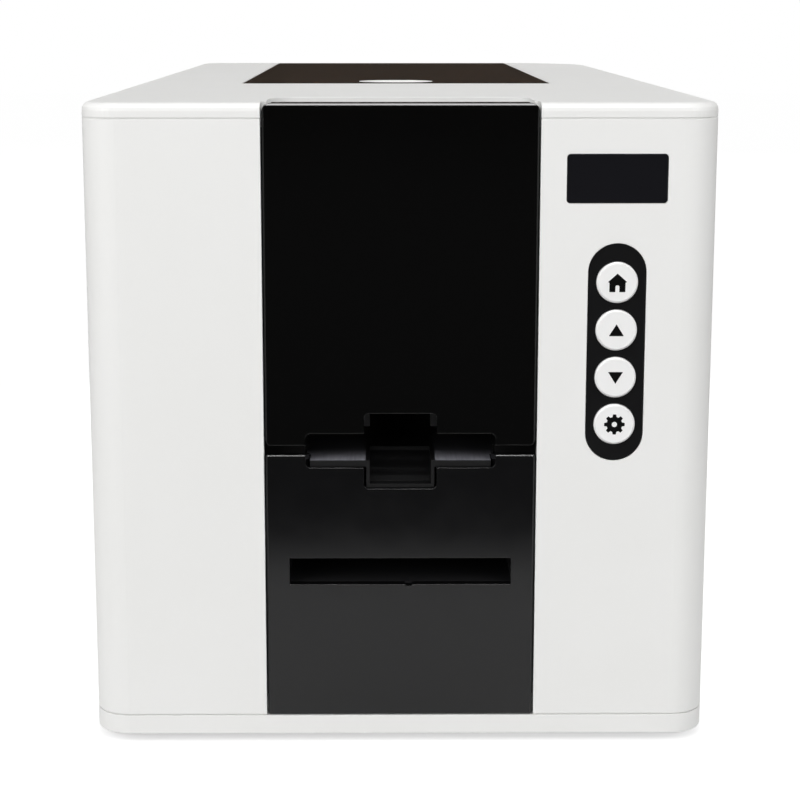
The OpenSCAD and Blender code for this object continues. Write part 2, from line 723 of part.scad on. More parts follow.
module print_head() {
    color(steel) {
        across([-30, 30]) difference() {
            translate([at(sink_s[0]), sink_z[0]]) square([sink_s[1] - sink_s[0], sink_z[1] - sink_z[0]]);
            for (k = [0:6]) translate([at(sink_s[0] + 2.4 + fin_pitch * k), sink_z[0] + 8])
                square([fin_gap, sink_z[1] - sink_z[0]]);
        }
        both() bar([30 - eps, arm_x[1] + 1.5], at(head_s + 4), sink_z[0] + 4, 2);
        both() block([spring_x - 6, spring_x + 6], [at(head_s - 2), at(head_s + 10)],
            [sink_z[1] - 1, sink_z[1] + seat_h]);
        both() translate([spring_x, at(head_s + 4), sink_z[1]]) cylinder(h = 3, r = 2.6);
    }
    color("ivory") block([-29, 29], [at(head_s - 6), at(head_s + 8)], [head_z + 0.6, sink_z[0] + eps]);
    color("gold") block([-27, 27], [at(head_s - 0.6), at(head_s + 0.6)], [head_z, head_z + 0.6 + eps]);
}

// Compression springs between the head and its bracket, each one unbroken helical tube
spring_turns = 5;
spring_z = [sink_z[1] + seat_h + wire_r, bracket_z - wire_r];
function spring_point(t) = [spring_r * cos(360 * t), spring_r * sin(360 * t),
    spring_z[0] + (spring_z[1] - spring_z[0]) * t / spring_turns];
module coil(steps_per_turn = 14, sides = 6) {
    n = spring_turns * steps_per_turn;
    points = [for (i = [0:n], k = [0:sides - 1])
        let (t = i / steps_per_turn, p = spring_point(t), a = 360 * t, b = 360 * k / sides)
        [p[0] + wire_r * cos(b) * cos(a), p[1] + wire_r * cos(b) * sin(a), p[2] + wire_r * sin(b)]];
    sides_tris = [for (i = [0:n - 1], k = [0:sides - 1])
        let (a = i * sides + k, b = i * sides + (k + 1) % sides, c = a + sides, d = b + sides)
        each [[a, c, b], [b, c, d]]];
    caps = [[for (k = [0:sides - 1]) k], [for (k = [sides - 1:-1:0]) n * sides + k]];
    polyhedron(points, concat(sides_tris, caps), convexity = 10);
}
module head_springs() {
    color(steel) for (x = [-spring_x, spring_x]) translate([x, at(head_s + 4), 0]) coil();
}

// Ribbon bay frame: black tub walls between the chassis plates, under the top cover's ledge
tub_t = 1.8;
tub_z = [path_z + 12, skirt_z - 4];
tub_s = [bay_s - 1.5, bay_rear_s + 2];
spool_z = path_z + 50;
take_s = head_s - 55;
supply_s = head_s + 60;
module bay_frame() {
    color("#262626") difference() {
        union() {
            both() block([tub_x, tub_x + tub_t], [at(tub_s[0]), at(tub_s[1])], tub_z);
            both() block([tub_x, lid_x + 6], [at(tub_s[0]), at(tub_s[1])], [tub_z[1] - 1.6, tub_z[1]]);
            block([-tub_x - eps, tub_x + eps], [at(tub_s[1] - tub_t), at(tub_s[1])], tub_z);
            block([-tub_x - eps, tub_x + eps], [at(tub_s[0]), at(tub_s[0] + tub_t)],
                [spool_z + 20, tub_z[1]]);
            both() for (s = [take_s - 5.5, supply_s + 5.5]) block([cassette_x[0] - 1.5, tub_x + eps],
                [at(s - 2.5), at(s + 2.5)], [spool_z - 18, spool_z - 13 - clear]);
        }
        for (s = [take_s, supply_s]) bar([-lid_x, -tub_x + 1], at(s), spool_z, 8);
        for (s = [take_s, supply_s]) bar([tub_x - 1, lid_x], at(s), spool_z, 4);
    }
}

// Chassis plates: bent steel plates with bearing holes and lightening windows
rod_r = 2.5;
brg_r = 6;
seat_r = brg_r - 1.5 + run;
pick_s = 84;
intake_s = pick_s + 44;
transport_s = head_s - 55;
rear_s = head_s + 40;
pick_r = 7.6;
exit_r = 6;
intake_r = 4.4;
feed_r = 6;
platen_r = 6.5;
clean_r = 7;
pinch_r = 4;
card_t = 0.9;
pick_z = stack_z + 0.3 - pick_r;
exit_z = shelf_z + 0.5 - exit_r;
pick_n = 20;
idler_n = 26;
exit_n = 26;
pinion_n = 12;
exit_reach = gear_m * (pick_n + exit_n) / 2;
exit_s = pick_s - sqrt(exit_reach * exit_reach - pow(pick_z - exit_z, 2));
intake_z = path_z + card_t + 0.5 + intake_r;
transport_z = path_z - feed_r;
platen_z = path_z - platen_r;
rear_z = path_z - feed_r;
driven = [[pick_s, pick_z], [exit_s, exit_z], [intake_s, intake_z], [transport_s, transport_z],
    [head_s, platen_z], [rear_s, rear_z]];
motor_s = head_s;
motor_z = 42;
motor_hole = 15.5;
spigot_r = 11;
chassis_z1 = pocket_z - 9.5;
rods = [[chassis_s[0] + 8, 30], [intake_s - 18, chassis_z1 - 6], [transport_s - 40, 20],
    [chassis_s[1] - 12, 30], [chassis_s[1] - 12, 95]];
module chassis_outline() {
    polygon([[at(chassis_s[0]), post_z], [at(chassis_s[1]), post_z], [at(chassis_s[1]), tub_z[1] - 2],
        [at(bay_s + 4), tub_z[1] - 2], [at(bay_s - 16), chassis_z1], [at(chassis_s[0]), chassis_z1]]);
}
module window_cut(s, z, r = 4) {
    soft_rect([at(s[0]), at(s[1])], z, r);
}
windows = [[[chassis_s[0] + 14, intake_s + 12], [24, 46]], [[rear_s - 13, chassis_s[1] - 24], [24, 64]],
    [[transport_s - 30, transport_s + 15], [24, 64]], [[head_s - 23, rear_s - 3], [108, chassis_z1 - 6]],
    [[chassis_s[1] - 26, chassis_s[1] - 10], [106, chassis_z1 - 6]],
    [[chassis_s[0] + 8, pick_s - 12], [124, chassis_z1 - 6]],
    [[intake_s + 14, transport_s - 22], [108, chassis_z1 - 12]]];
module chassis_plate() {
    difference() {
        union() {
            across([chassis_x, chassis_x + chassis_t]) difference() {
                chassis_outline();
                for (w = windows) window_cut(w[0], w[1]);
            }
            block([chassis_x + eps, chassis_x + chassis_t + chassis_foot],
                [at(chassis_s[0]), at(chassis_s[1])], [post_z, post_z + chassis_t]);
        }
        for (s = post_s) translate([post_x, at(s), post_z - 1]) cylinder(h = 4, r = 1.6);
        for (p = driven) bar([chassis_x - 1, chassis_x + chassis_t + 1], at(p[0]), p[1], seat_r);
        for (p = rods) bar([chassis_x - 1, chassis_x + chassis_t + 1], at(p[0]), p[1], 1.6);
        for (s = [take_s, supply_s]) bar([chassis_x - 1, chassis_x + chassis_t + 1], at(s), spool_z, seat_r);
        for (p = concat(pinches, [[clean_s, clean_z]])) bar([chassis_x - 1, chassis_x + chassis_t + 1],
            at(p[0]), p[1], 1.5 + run);
        bar([chassis_x - 1, chassis_x + chassis_t + 1], at(flap_s[0]), flap_z, 1.5 + run);
    }
}
module left_chassis() {
    color(steel) difference() {
        union() {
            mirror([1, 0, 0]) chassis_plate();
            for (s = board_posts_s, z = board_posts_z)
                bar([board_x + board_t, -chassis_x - 1], at(s), z, 2.5);
        }
        bar([-chassis_x - 3, -chassis_x + 1], at(motor_s), motor_z, spigot_r + 0.2);
        for (u = [-1, 1], v = [-1, 1]) bar([-chassis_x - 3, -chassis_x + 1], at(motor_s) + motor_hole * u,
            motor_z + motor_hole * v, 1.6);
    }
}
module right_chassis() {
    color(steel) {
        chassis_plate();
        bar([chassis_x + 1, gear_x[1] + 0.5], at(idler_c[0]), idler_c[1], 2.5);
    }
}
module tie_rods() {
    color(steel) for (p = rods) {
        bar([-chassis_x, chassis_x], at(p[0]), p[1], rod_r);
        bar([-chassis_x - chassis_t - 2.2, chassis_x + chassis_t + 2.2], at(p[0]), p[1], 1.6);
        both() bar([chassis_x + chassis_t, chassis_x + chassis_t + 2.2], at(p[0]), p[1], 2.8);
    }
}
module bearing(x, y, z) {
    difference() {
        union() {
            bar([x - 1, x + chassis_t + 2], y, z, brg_r - 1.5);
            bar([x - 1.2, x], y, z, brg_r);
        }
        bar([x - 2, x + 5], y, z, shaft_r + run);
    }
}
module bearings() {
    color("ivory") {
        for (p = driven) both() bearing(chassis_x, at(p[0]), p[1]);
        for (s = [take_s, supply_s]) mirror([1, 0, 0]) bearing(chassis_x, at(s), spool_z);
    }
}

// Card hopper: box behind the door, open to the front, with a gate at its rear foot
hopper_s = [14, pick_s + 11.5];
weight_z = stack_z + 0.2;
lug_s = [50, 56];
module card_hopper() {
    x = hopper_x + hopper_t;
    color("#2c2c2c") difference() {
        union() {
            block([-x, x], [at(hopper_s[0]), at(hopper_s[1])], [stack_z - 3.5, stack_z - 1]);
            both() block([hopper_x, x], [at(hopper_s[0]), at(hopper_s[1])], [stack_z - 3.5, hopper_z1]);
            block([-x, x], [at(hopper_s[1] - 2), at(hopper_s[1])], [stack_z + 1.1, hopper_z1]);
            both() block([19, 21], [at(hopper_s[0] + 2), at(hopper_s[1] - 3)], [stack_z - 1 - eps, stack_z]);
            both() for (z = [stack_z + 5, hopper_z1 - 16]) block([x - eps, chassis_x],
                [at(pick_s - 10), at(pick_s - 2)], [z, z + 3]);
        }
        block([-18, 18], [at(pick_s - 9), at(pick_s + 9)], [stack_z - 5, stack_z + 0.5]);
        both() block([hopper_x - 1, x + 1], [at(lug_s[0] - clear), at(lug_s[1] + clear)],
            [stack_z - 0.2, hopper_z1 - 4]);
        both() block([hopper_x - 1, x + 1], [at(hopper_s[0] - 1), at(hopper_s[0] + 14)],
            [stack_z + 20, hopper_z1 - 17]);
    }
}
module hopper_weight() {
    x = hopper_x - 0.6;
    color("dimgray") difference() {
        union() {
            block([-x, x], [at(hopper_s[0] + 8), at(hopper_s[1] - 4)], [weight_z, weight_z + 3.5]);
            across([-12, 12]) polygon([[at(hopper_s[0] + 8 + eps), weight_z + 3.5],
                [at(hopper_s[0] + 2), weight_z + 9], [at(hopper_s[0] + 2), weight_z + 7],
                [at(hopper_s[0] + 8 + eps), weight_z + 1]]);
            both() block([x - eps, hopper_x + hopper_t - 0.2], [at(lug_s[0]), at(lug_s[1])],
                [weight_z, weight_z + 6]);
            for (k = [-1:1]) block([14 * k - 1, 14 * k + 1], [at(hopper_s[0] + 12), at(hopper_s[1] - 6)],
                [weight_z + 3.5 - eps, weight_z + 6]);
        }
        block([-17.5, 17.5], [at(pick_s - 8), at(hopper_s[1])], [weight_z - 1, weight_z + 8]);
    }
}

// Card ramp: sloping guide from the hopper down to the print path, with side rails
ramp_s = [hopper_s[1] + 1.5, transport_s - 38];
ramp_lug_s = [intake_s - 13, ramp_s[1] - 5];
ramp_slope = (stack_z - 0.6 - path_z) / (transport_s - 6 - ramp_s[0]);
function ramp_z(s) = stack_z - 0.6 - (s - ramp_s[0]) * ramp_slope;
guide_x = card_w / 2 + 0.4;
module ramp_sheet(x, lift0, lift1) {
    across(x) polygon([[at(ramp_s[0]), ramp_z(ramp_s[0]) + lift0], [at(ramp_s[1]), ramp_z(ramp_s[1]) + lift0],
        [at(ramp_s[1]), ramp_z(ramp_s[1]) + lift1], [at(ramp_s[0]), ramp_z(ramp_s[0]) + lift1]]);
}
module card_ramp() {
    difference() {
        union() {
            ramp_sheet([-guide_x - 2, guide_x + 2], -1.8, 0);
            both() ramp_sheet([guide_x, guide_x + 2], -1.8, 3);
            both() for (s = ramp_lug_s) block([guide_x + 1, chassis_x], [at(s - 3), at(s + 3)],
                [ramp_z(s) - 0.5, ramp_z(s) + 2]);
        }
        block([-27, 27], [at(intake_s - intake_r - 2), at(intake_s + intake_r + 2)], [path_z, stack_z + 4]);
        block([-guide_x - 3, guide_x + 3], [at(intake_s - 4), at(intake_s + 4)], [path_z, intake_z + 4]);
    }
}

// Lower card guide: flat guide in two lengths with a gap for the diverter flap
flap_s = [intake_s + 14, transport_s - 15];
flap_z = path_z - 1.9;
guide_s = [[ramp_s[0], flap_s[0] - 4], [flap_s[1] + 5, rear_s + 35]];
guide_z = path_z - 0.2;
module card_guide() {
    difference() {
        union() {
            for (g = guide_s) {
                block([-guide_x - 2, guide_x + 2], [at(g[0]), at(g[1])], [guide_z - 1.8, guide_z]);
                both() block([guide_x, guide_x + 2], [at(g[0]), at(g[1])], [guide_z - 1.8, guide_z + 2.6]);
            }
            both() for (s = [guide_s[0][0] + 7, transport_s + 22, rear_s + 15])
                block([guide_x + 1, chassis_x], [at(s), at(s + 6)], [guide_z - 1.8, guide_z + 1]);
        }
        for (s = [intake_s, transport_s, head_s, rear_s])
            block([-26.5, 26.5], [at(s - 8), at(s + 8)], [guide_z - 3, guide_z + 3]);
        block([-guide_x - 3, guide_x + 3], [at(head_s - 16), at(head_s + 21)], [guide_z + 0.4, guide_z + 3]);
    }
}
module card_guides() {
    color("#2c2c2c") {
        card_ramp();
        card_guide();
    }
}
module diverter_flap() {
    color("gray") {
        difference() {
            block([-guide_x + 1, guide_x - 1], [at(flap_s[0]), at(flap_s[1])], [flap_z - 0.8, flap_z + 1.4]);
            for (k = [-2:2]) block([10 * k - 3, 10 * k + 3], [at(flap_s[0] + 6), at(flap_s[1] - 5)],
                [flap_z - 1, flap_z + 0.4]);
        }
        bar([-flap_end, chassis_x + chassis_t + 1], at(flap_s[0]), flap_z, 1.5);
        difference() {
            across([-flap_end, -flap_end + 2]) polygon([[at(flap_s[0] - 2.5), flap_z + 2],
                [at(flap_s[0] + 2.5), flap_z + 2], [at(flap_s[0] + 2), flap_z - 20],
                [at(flap_s[0] - 2), flap_z - 20]]);
            bar([-flap_end - 1, -flap_end + 3], at(flap_s[0]), flap_z - 16, 1.4);
        }
    }
}
flap_end = chassis_x + chassis_t + 4;
module gate_solenoid() {
    color("dimgray") {
        block([-chassis_x - chassis_t - 12, -chassis_x - chassis_t], [at(flap_s[0] - 38), at(flap_s[0] - 14)],
            [flap_z - 23, flap_z - 9]);
        peg(-flap_end - 2.2, [at(flap_s[0] - 14 - eps), at(flap_s[0] - 5.5)], flap_z - 16, 1.5);
    }
}

// Rollers: steel shaft with a rubber sleeve across the card
exit_half = 22;
module roller(s, z, r, rubber, x0, x1) {
    color(steel) bar([x0, x1], at(s), z, shaft_r);
    color("dimgray") bar([-rubber, rubber], at(s), z, r);
}
belt_x = 60;
pulley_w = 7;
pulley_r = 7;
gear_x = [54, 60];
shaft_end = chassis_x + chassis_t + 3.5;
module pulley(s, z, r) {
    color("dimgray") {
        bar([-belt_x - pulley_w / 2, -belt_x + pulley_w / 2], at(s), z, r);
        bar([-belt_x - pulley_w / 2 - 1, -belt_x - pulley_w / 2 + eps], at(s), z, r + 1.2);
        bar([-belt_x + pulley_w / 2 - eps, -belt_x + pulley_w / 2 + 1], at(s), z, r + 1.2);
    }
}
belt_end = -belt_x - pulley_w / 2 - 2;
module transport_roller() {
    roller(transport_s, transport_z, feed_r, 26, belt_end, shaft_end);
    pulley(transport_s, transport_z, pulley_r);
}
module platen_roller() {
    roller(head_s, platen_z, platen_r, 26, belt_end, shaft_end);
    pulley(head_s, platen_z, pulley_r + platen_r - feed_r);
}
module rear_roller() {
    roller(rear_s, rear_z, feed_r, 26, belt_end, shaft_end);
    pulley(rear_s, rear_z, pulley_r);
}

// Toothed gears from the involute of their base circle
pressure = 20;
function inv_len(rb, r) = sqrt(max(0, r * r / (rb * rb) - 1));
function inv_angle(rb, r) = inv_len(rb, r) * 180 / PI - atan(inv_len(rb, r));
module gear_outline(n) {
    rp = gear_m * n / 2;
    rb = rp * cos(pressure);
    ra = rp + gear_m;
    rf = rp - 1.25 * gear_m;
    half = 90 / n - backlash / rp * 90 / PI / 2 + inv_angle(rb, rp);
    steps = 4;
    start_r = max(rb, rf);
    flank = [for (i = [0:steps]) let (r = start_r + (ra - start_r) * i / steps) [r, half - inv_angle(rb, r)]];
    polygon([for (k = [0:n - 1]) let (c = 360 * k / n) each concat(
        [polar(rf, c - half)], [for (f = flank) polar(f[0], c - f[1])],
        [for (i = [steps:-1:0]) polar(flank[i][0], c + flank[i][1])], [polar(rf, c + half)])]);
}
module gear(s, z, n, turn, x, bore = 0) {
    color("ivory") translate([x[0], at(s), z]) rotate([90, 0, 90]) linear_extrude(height = x[1] - x[0])
        rotate(turn) difference() {
            gear_outline(n);
            if (bore > 0) circle(bore);
        }
}
// Turn of a gear that meshes with another: a is the direction from that gear to this one.
function mesh(n0, turn0, a, n1) = a + 180 - (0.5 - (a - turn0) * n0 / 360) * 360 / n1;
function heading(p, q) = atan2(q[1] - p[1], q[0] - p[0]);

pick_c = [pick_s, pick_z];
intake_c = [intake_s, intake_z];
idler_reach = gear_m * (pick_n + idler_n) / 2;
idler_mid = (pick_c + intake_c) / 2;
idler_half = norm(intake_c - pick_c) / 2;
idler_drop = sqrt(idler_reach * idler_reach - idler_half * idler_half);
idler_dir = (intake_c - pick_c) / norm(intake_c - pick_c);
idler_c = idler_mid + idler_drop * [idler_dir[1], -idler_dir[0]];
pinion_reach = gear_m * (idler_n + pinion_n) / 2;
pinion_c = idler_c - [0, pinion_reach];
idler_turn = mesh(pick_n, 0, heading(pick_c, idler_c), idler_n);
intake_turn = mesh(idler_n, idler_turn, heading(idler_c, intake_c), pick_n);
pinion_turn = mesh(idler_n, idler_turn, heading(idler_c, pinion_c), pinion_n);
exit_turn = mesh(pick_n, 0, heading(pick_c, [exit_s, exit_z]), exit_n);
module pick_roller() {
    roller(pick_s, pick_z, pick_r, 15, -shaft_end, gear_x[1]);
    gear(pick_s, pick_z, pick_n, 0, gear_x);
}
module exit_roller() {
    roller(exit_s, exit_z, exit_r, exit_half, -shaft_end, gear_x[1]);
    gear(exit_s, exit_z, exit_n, exit_turn, gear_x);
}
module intake_roller() {
    roller(intake_s, intake_z, intake_r, 25, -shaft_end, gear_x[1]);
    gear(intake_s, intake_z, pick_n, intake_turn, gear_x);
}
module idler_gear() {
    gear(idler_c[0], idler_c[1], idler_n, idler_turn, gear_x, 2.5 + run);
}
module feeder_pinion() {
    gear(pinion_c[0], pinion_c[1], pinion_n, pinion_turn, gear_x);
    color(steel) bar([gear_x[0], motor_x[0] + 1], at(pinion_c[0]), pinion_c[1], 2);
}

// Flat geared motors that stand off the chassis plates, shaft end inwards
motor_x = [63, 84];
motor_r = 16;
module flat_motor(c) {
    color("darkgray") difference() {
        union() {
            bar(motor_x, at(c[0]), c[1], motor_r);
            bar([motor_x[1] - eps, motor_x[1] + 2.5], at(c[0]), c[1], 5);
        }
        bar([motor_x[0] - 1, motor_x[0] + 4], at(c[0]), c[1], 2 + run);
    }
    color(steel) for (a = [200, 340]) bar([chassis_x + chassis_t, motor_x[0] + eps],
        at(c[0]) + 14 * cos(a), c[1] + 14 * sin(a), 1.8);
}

// Pinch and cleaning rollers: idle rollers that face the driven ones
clean_s = intake_s + (clean_r + card_t) * ramp_slope;
clean_z = ramp_z(intake_s) + clean_r + card_t;
pinches = [[exit_s, path_z + card_t + pinch_r], [intake_s, path_z - 0.1 - pinch_r],
    [transport_s, path_z + card_t + pinch_r], [rear_s, path_z + card_t + pinch_r]];
pinch_x = chassis_x + chassis_t + 1;
module pinch(p) {
    color(steel) bar([-pinch_x, pinch_x], at(p[0]), p[1], 1.5);
    color("ivory") both() bar([6, 22], at(p[0]), p[1], pinch_r);
}
module exit_pinch() { pinch(pinches[0]); }
module intake_pinch() { pinch(pinches[1]); }
module transport_pinch() { pinch(pinches[2]); }
module rear_pinch() { pinch(pinches[3]); }
module cleaning_roller() {
    color("lightblue") bar([-26, 26], at(clean_s), clean_z, clean_r);
    color(steel) bar([-pinch_x, pinch_x], at(clean_s), clean_z, 1.5);
}

// Ribbon cassette: side frames with spool bearings, bowed cross bars; spools and the film
cassette_x = [38, 40];
journal_r = 5;
core_r = 7;
supply_r = 15;
take_r = 9.5;
post_low = [[head_s - 20, 101], [head_s + 24, 101]];
bar_r = 2;
cassette_r = 13;
grip_s = [take_s - 19, supply_s + 22];
module cassette_side() {
    difference() {
        union() {
            for (s = [take_s, supply_s]) translate([at(s), spool_z]) circle(cassette_r);
            polygon([[at(take_s), spool_z + cassette_r], [at(supply_s), spool_z + cassette_r],
                [at(supply_s + cassette_r), spool_z],
                [at(post_low[1][0] + 4), 97], [at(post_low[1][0] - 4), 97], [at(head_s + 17), 128],
                [at(head_s - 13), 128], [at(post_low[0][0] + 4), 97], [at(post_low[0][0] - 4), 97],
                [at(take_s - cassette_r), spool_z]]);
        }
        for (s = [take_s, supply_s]) translate([at(s), spool_z]) circle(journal_r + run);
    }
}
module ribbon_cassette() {
    color("lightgray") {
        both() across(cassette_x) cassette_side();
        for (p = post_low) bar([-cassette_x[0] - eps, cassette_x[0] + eps], at(p[0]), p[1], bar_r);
        for (s = grip_s) bar([-cassette_x[0], cassette_x[0]], at(s), spool_z + 3, 2.5);
        both() across(cassette_x) {
            polygon([[at(grip_s[0] - 3), spool_z], [at(grip_s[0] + 3), spool_z],
                [at(grip_s[0] + 12), spool_z + 6], [at(grip_s[0] - 3), spool_z + 6]]);
            polygon([[at(grip_s[1] - 3), spool_z], [at(grip_s[1] + 3), spool_z],
                [at(grip_s[1] + 3), spool_z + 6], [at(grip_s[1] - 12), spool_z + 6]]);
        }
    }
}
module spool(s, r, tube) {
    color("black") bar([-31, 31], at(s), spool_z, r);
    color("ivory") {
        bar([-cassette_x[0] + 0.5, cassette_x[0] - 0.5], at(s), spool_z, core_r);
        bar([-cassette_x[1] - 1, cassette_x[1] + 1], at(s), spool_z, journal_r);
        both() bar([31 - eps, 32.2], at(s), spool_z, tube);
    }
}
take_n = 36;
ribbon_reach = gear_m * (take_n + pinion_n) / 2;
ribbon_off = 16;
ribbon_c = [take_s + ribbon_off, spool_z - sqrt(ribbon_reach * ribbon_reach - ribbon_off * ribbon_off)];
ribbon_turn = mesh(take_n, 0, heading([take_s, spool_z], ribbon_c), pinion_n);
left_gear_x = [-gear_x[1], -gear_x[0]];
brake_x = [-58, -54];
brake_r = 12;
module supply_spool() {
    spool(supply_s, supply_r, supply_r + 3);
    color(steel) bar([brake_x[0], -cassette_x[1]], at(supply_s), spool_z, shaft_r);
    color("dimgray") bar(brake_x, at(supply_s), spool_z, brake_r);
}
module take_up_spool() {
    spool(take_s, take_r, supply_r + 1);
    color(steel) bar([left_gear_x[0], -cassette_x[1]], at(take_s), spool_z, shaft_r);
    gear(take_s, spool_z, take_n, 0, left_gear_x);
}
module ribbon_pinion() {
    gear(ribbon_c[0], ribbon_c[1], pinion_n, ribbon_turn, left_gear_x);
    color(steel) bar([-motor_x[0] - 1, left_gear_x[1]], at(ribbon_c[0]), ribbon_c[1], 2);
}

// Ribbon film: four straight lengths from the supply winding under the head to the take-up winding
film_t = 0.25;
film_z = path_z + card_t + 0.2;
function spot(s, z) = [at(s), z];
// Where a line from p touches a circle; side picks one of the two tangents.
function touch(p, c, r, side) = c + polar(r, atan2(p[1] - c[1], p[0] - c[0]) + side * acos(r / norm(p - c)));
module film(p, q) {
    n = [p[1] - q[1], q[0] - p[0]] / norm(q - p) * film_t;
    across([-30, 30]) polygon([p, q, q + n, p + n]);
}
module ribbon_film() {
    w = [spot(post_low[0][0], post_low[0][1]) + polar(bar_r + 0.6, -130),
        spot(post_low[1][0], post_low[1][1]) + polar(bar_r + 0.6, -50)];
    h = [spot(head_s - 9, film_z), spot(head_s + 17, film_z)];
    color("#101018") {
        film(touch(w[0], spot(take_s, spool_z), take_r + 0.3, 1), w[0]);
        film(w[0], h[0]);
        film(h[0], h[1]);
        film(h[1], w[1]);
        film(w[1], touch(w[1], spot(supply_s, spool_z), supply_r + 0.3, -1));
    }
}

// Motors, the feed pulley and the belt that drives the three path rollers
feed_motor_w = 42;
feed_motor_l = 34;
feed_shaft_r = 2.5;
feed_pulley_r = 5;
module motors() {
    flat_motor(pinion_c);
    mirror([1, 0, 0]) flat_motor(ribbon_c);
    feed_motor();
}
module feed_motor() {
    half = feed_motor_w / 2;
    color("dimgray") difference() {
        block([-chassis_x, -chassis_x + feed_motor_l], about(at(motor_s), feed_motor_w),
            about(motor_z, feed_motor_w));
        for (u = [-half, half], v = [-half, half]) translate([0, at(motor_s) + u, motor_z + v])
            rotate([45, 0, 0]) block([-chassis_x - 1, chassis_x], [-3, 3], [-3, 3]);
        bar([-chassis_x - 1, -chassis_x + feed_motor_l], at(motor_s), motor_z, feed_shaft_r + run);
    }
    color(steel) difference() {
        bar([-chassis_x - 2, -chassis_x + eps], at(motor_s), motor_z, spigot_r);
        bar([-chassis_x - 3, -chassis_x + 1], at(motor_s), motor_z, feed_shaft_r + run);
    }
}
module feed_pulley() {
    color(steel) bar([belt_end, -chassis_x + 20], at(motor_s), motor_z, feed_shaft_r);
    pulley(motor_s, motor_z, feed_pulley_r);
}
belt_t = 1.2;
belt_w = 6;
belt_nodes = [[transport_s, transport_z, pulley_r], [rear_s, rear_z, pulley_r],
    [motor_s, motor_z, feed_pulley_r]];
// Direction from the middle of pulley i to where the belt leaves it for the next pulley.
function leave(i) = let (a = belt_nodes[i], b = belt_nodes[(i + 1) % 3], d = norm([b[0] - a[0], b[1] - a[1]]))
    atan2(b[1] - a[1], b[0] - a[0]) + acos((a[2] - b[2]) / d);
arc_steps = 10;
function arc_points(b, grow, a0, a1) = let (sweep = (a0 - a1 + 720) % 360)
    [for (k = [0:arc_steps]) [at(b[0]), b[1]] + polar(b[2] + grow, a0 - sweep * k / arc_steps)];
module belt_loop(grow) {
    polygon([for (i = [0:2]) each arc_points(belt_nodes[i], grow, leave((i + 2) % 3), leave(i))]);
}
module drive_belt() {
    color("#151515") across([-belt_x - belt_w / 2, -belt_x + belt_w / 2]) difference() {
        belt_loop(0.3 + belt_t);
        belt_loop(0.3);
    }
}

// Electronics: main board upright at the rear left with the sockets, fan behind the grille
board_t = 1.6;
main_s = [body_d - 136, body_d - 14];
main_z = [12, 104];
board_posts_s = main_s + [22, -16];
board_posts_z = main_z + [4, -6];
chips = [[20, 24, 14], [60, 44, 18], [45, 72, 10]];
capacitors = [[10, 8], [90, 14], [80, 76]];
module main_board() {
    face = board_x + board_t;
    color("#14401c") block([board_x, face], [at(main_s[0]), at(main_s[1])], main_z);
    translate([face, at(main_s[0]), main_z[0]]) {
        color("#222222") for (p = chips) block([-eps, 2.4], [p[0], p[0] + p[2]], [p[1], p[1] + p[2]]);
        color("silver") for (p = capacitors) bar([-eps, 10.4], p[0], p[1], 4);
        color("white") for (k = [0:2]) block([-eps, 6.4], [30 + 22 * k, 46 + 22 * k], [84, 89]);
    }
}
port_y = [rear_y - 22, rear_y - wall - 0.15];
module socket(z, housing, hole) {
    difference() {
        block(about(port_x, housing[0]), port_y, about(z, housing[1]));
        block(about(port_x, hole[0]), port_y + [3, 1], about(z, hole[1]));
    }
}
module rear_ports() {
    color("silver") {
        socket(lan_z, [16, 14], lan_size);
        socket(usb_z, [12, 11], usb_size);
    }
    color(black) difference() {
        block(about(port_x, 11), port_y, about(jack_z, 11));
        peg(port_x, port_y + [3, 1], jack_z, jack_r);
    }
    color(steel) peg(port_x, port_y + [2, -2], jack_z, 1);
    color(steel) for (z = [jack_z, usb_z, lan_z])
        block([board_x + board_t, port_x - 5], port_y + [2, -10], about(z, 2));
    rocker_housing();
}
fan_y = [rear_y - wall - 10, rear_y - wall];
fan_r = 18.6;
fan_hub = 8;
module cooling_fan() {
    color(black) {
        difference() {
            block(about(fan_x, fan_size), fan_y, about(fan_z, fan_size));
            peg(fan_x, fan_y + [-1, 1], fan_z, fan_r + 0.4);
            for (u = [-16, 16], v = [-16, 16]) peg(fan_x + u, fan_y + [-1, 1], fan_z + v, 1.7);
        }
        peg(fan_x, [fan_y[0], fan_y[0] + 2], fan_z, fan_hub);
        translate([fan_x, fan_y[0], fan_z]) rotate([-90, 0, 0])
            for (a = [30, 150, 270]) rotate(a) translate([0, -1, 0]) cube([fan_r + 0.8, 2, 1.5]);
    }
}
module fan_rotor() {
    color("#222222") translate([fan_x, fan_y[0] + 2 + clear, fan_z]) rotate([-90, 0, 0]) {
        cylinder(h = 6.5, r = fan_hub);
        for (a = [0:360 / 7:359]) rotate(a) translate([fan_hub - 1, 0, 3.2]) rotate([38, 0, 0])
            translate([0, -4.5, -0.5]) cube([fan_r - fan_hub + 0.7, 9, 1]);
    }
}

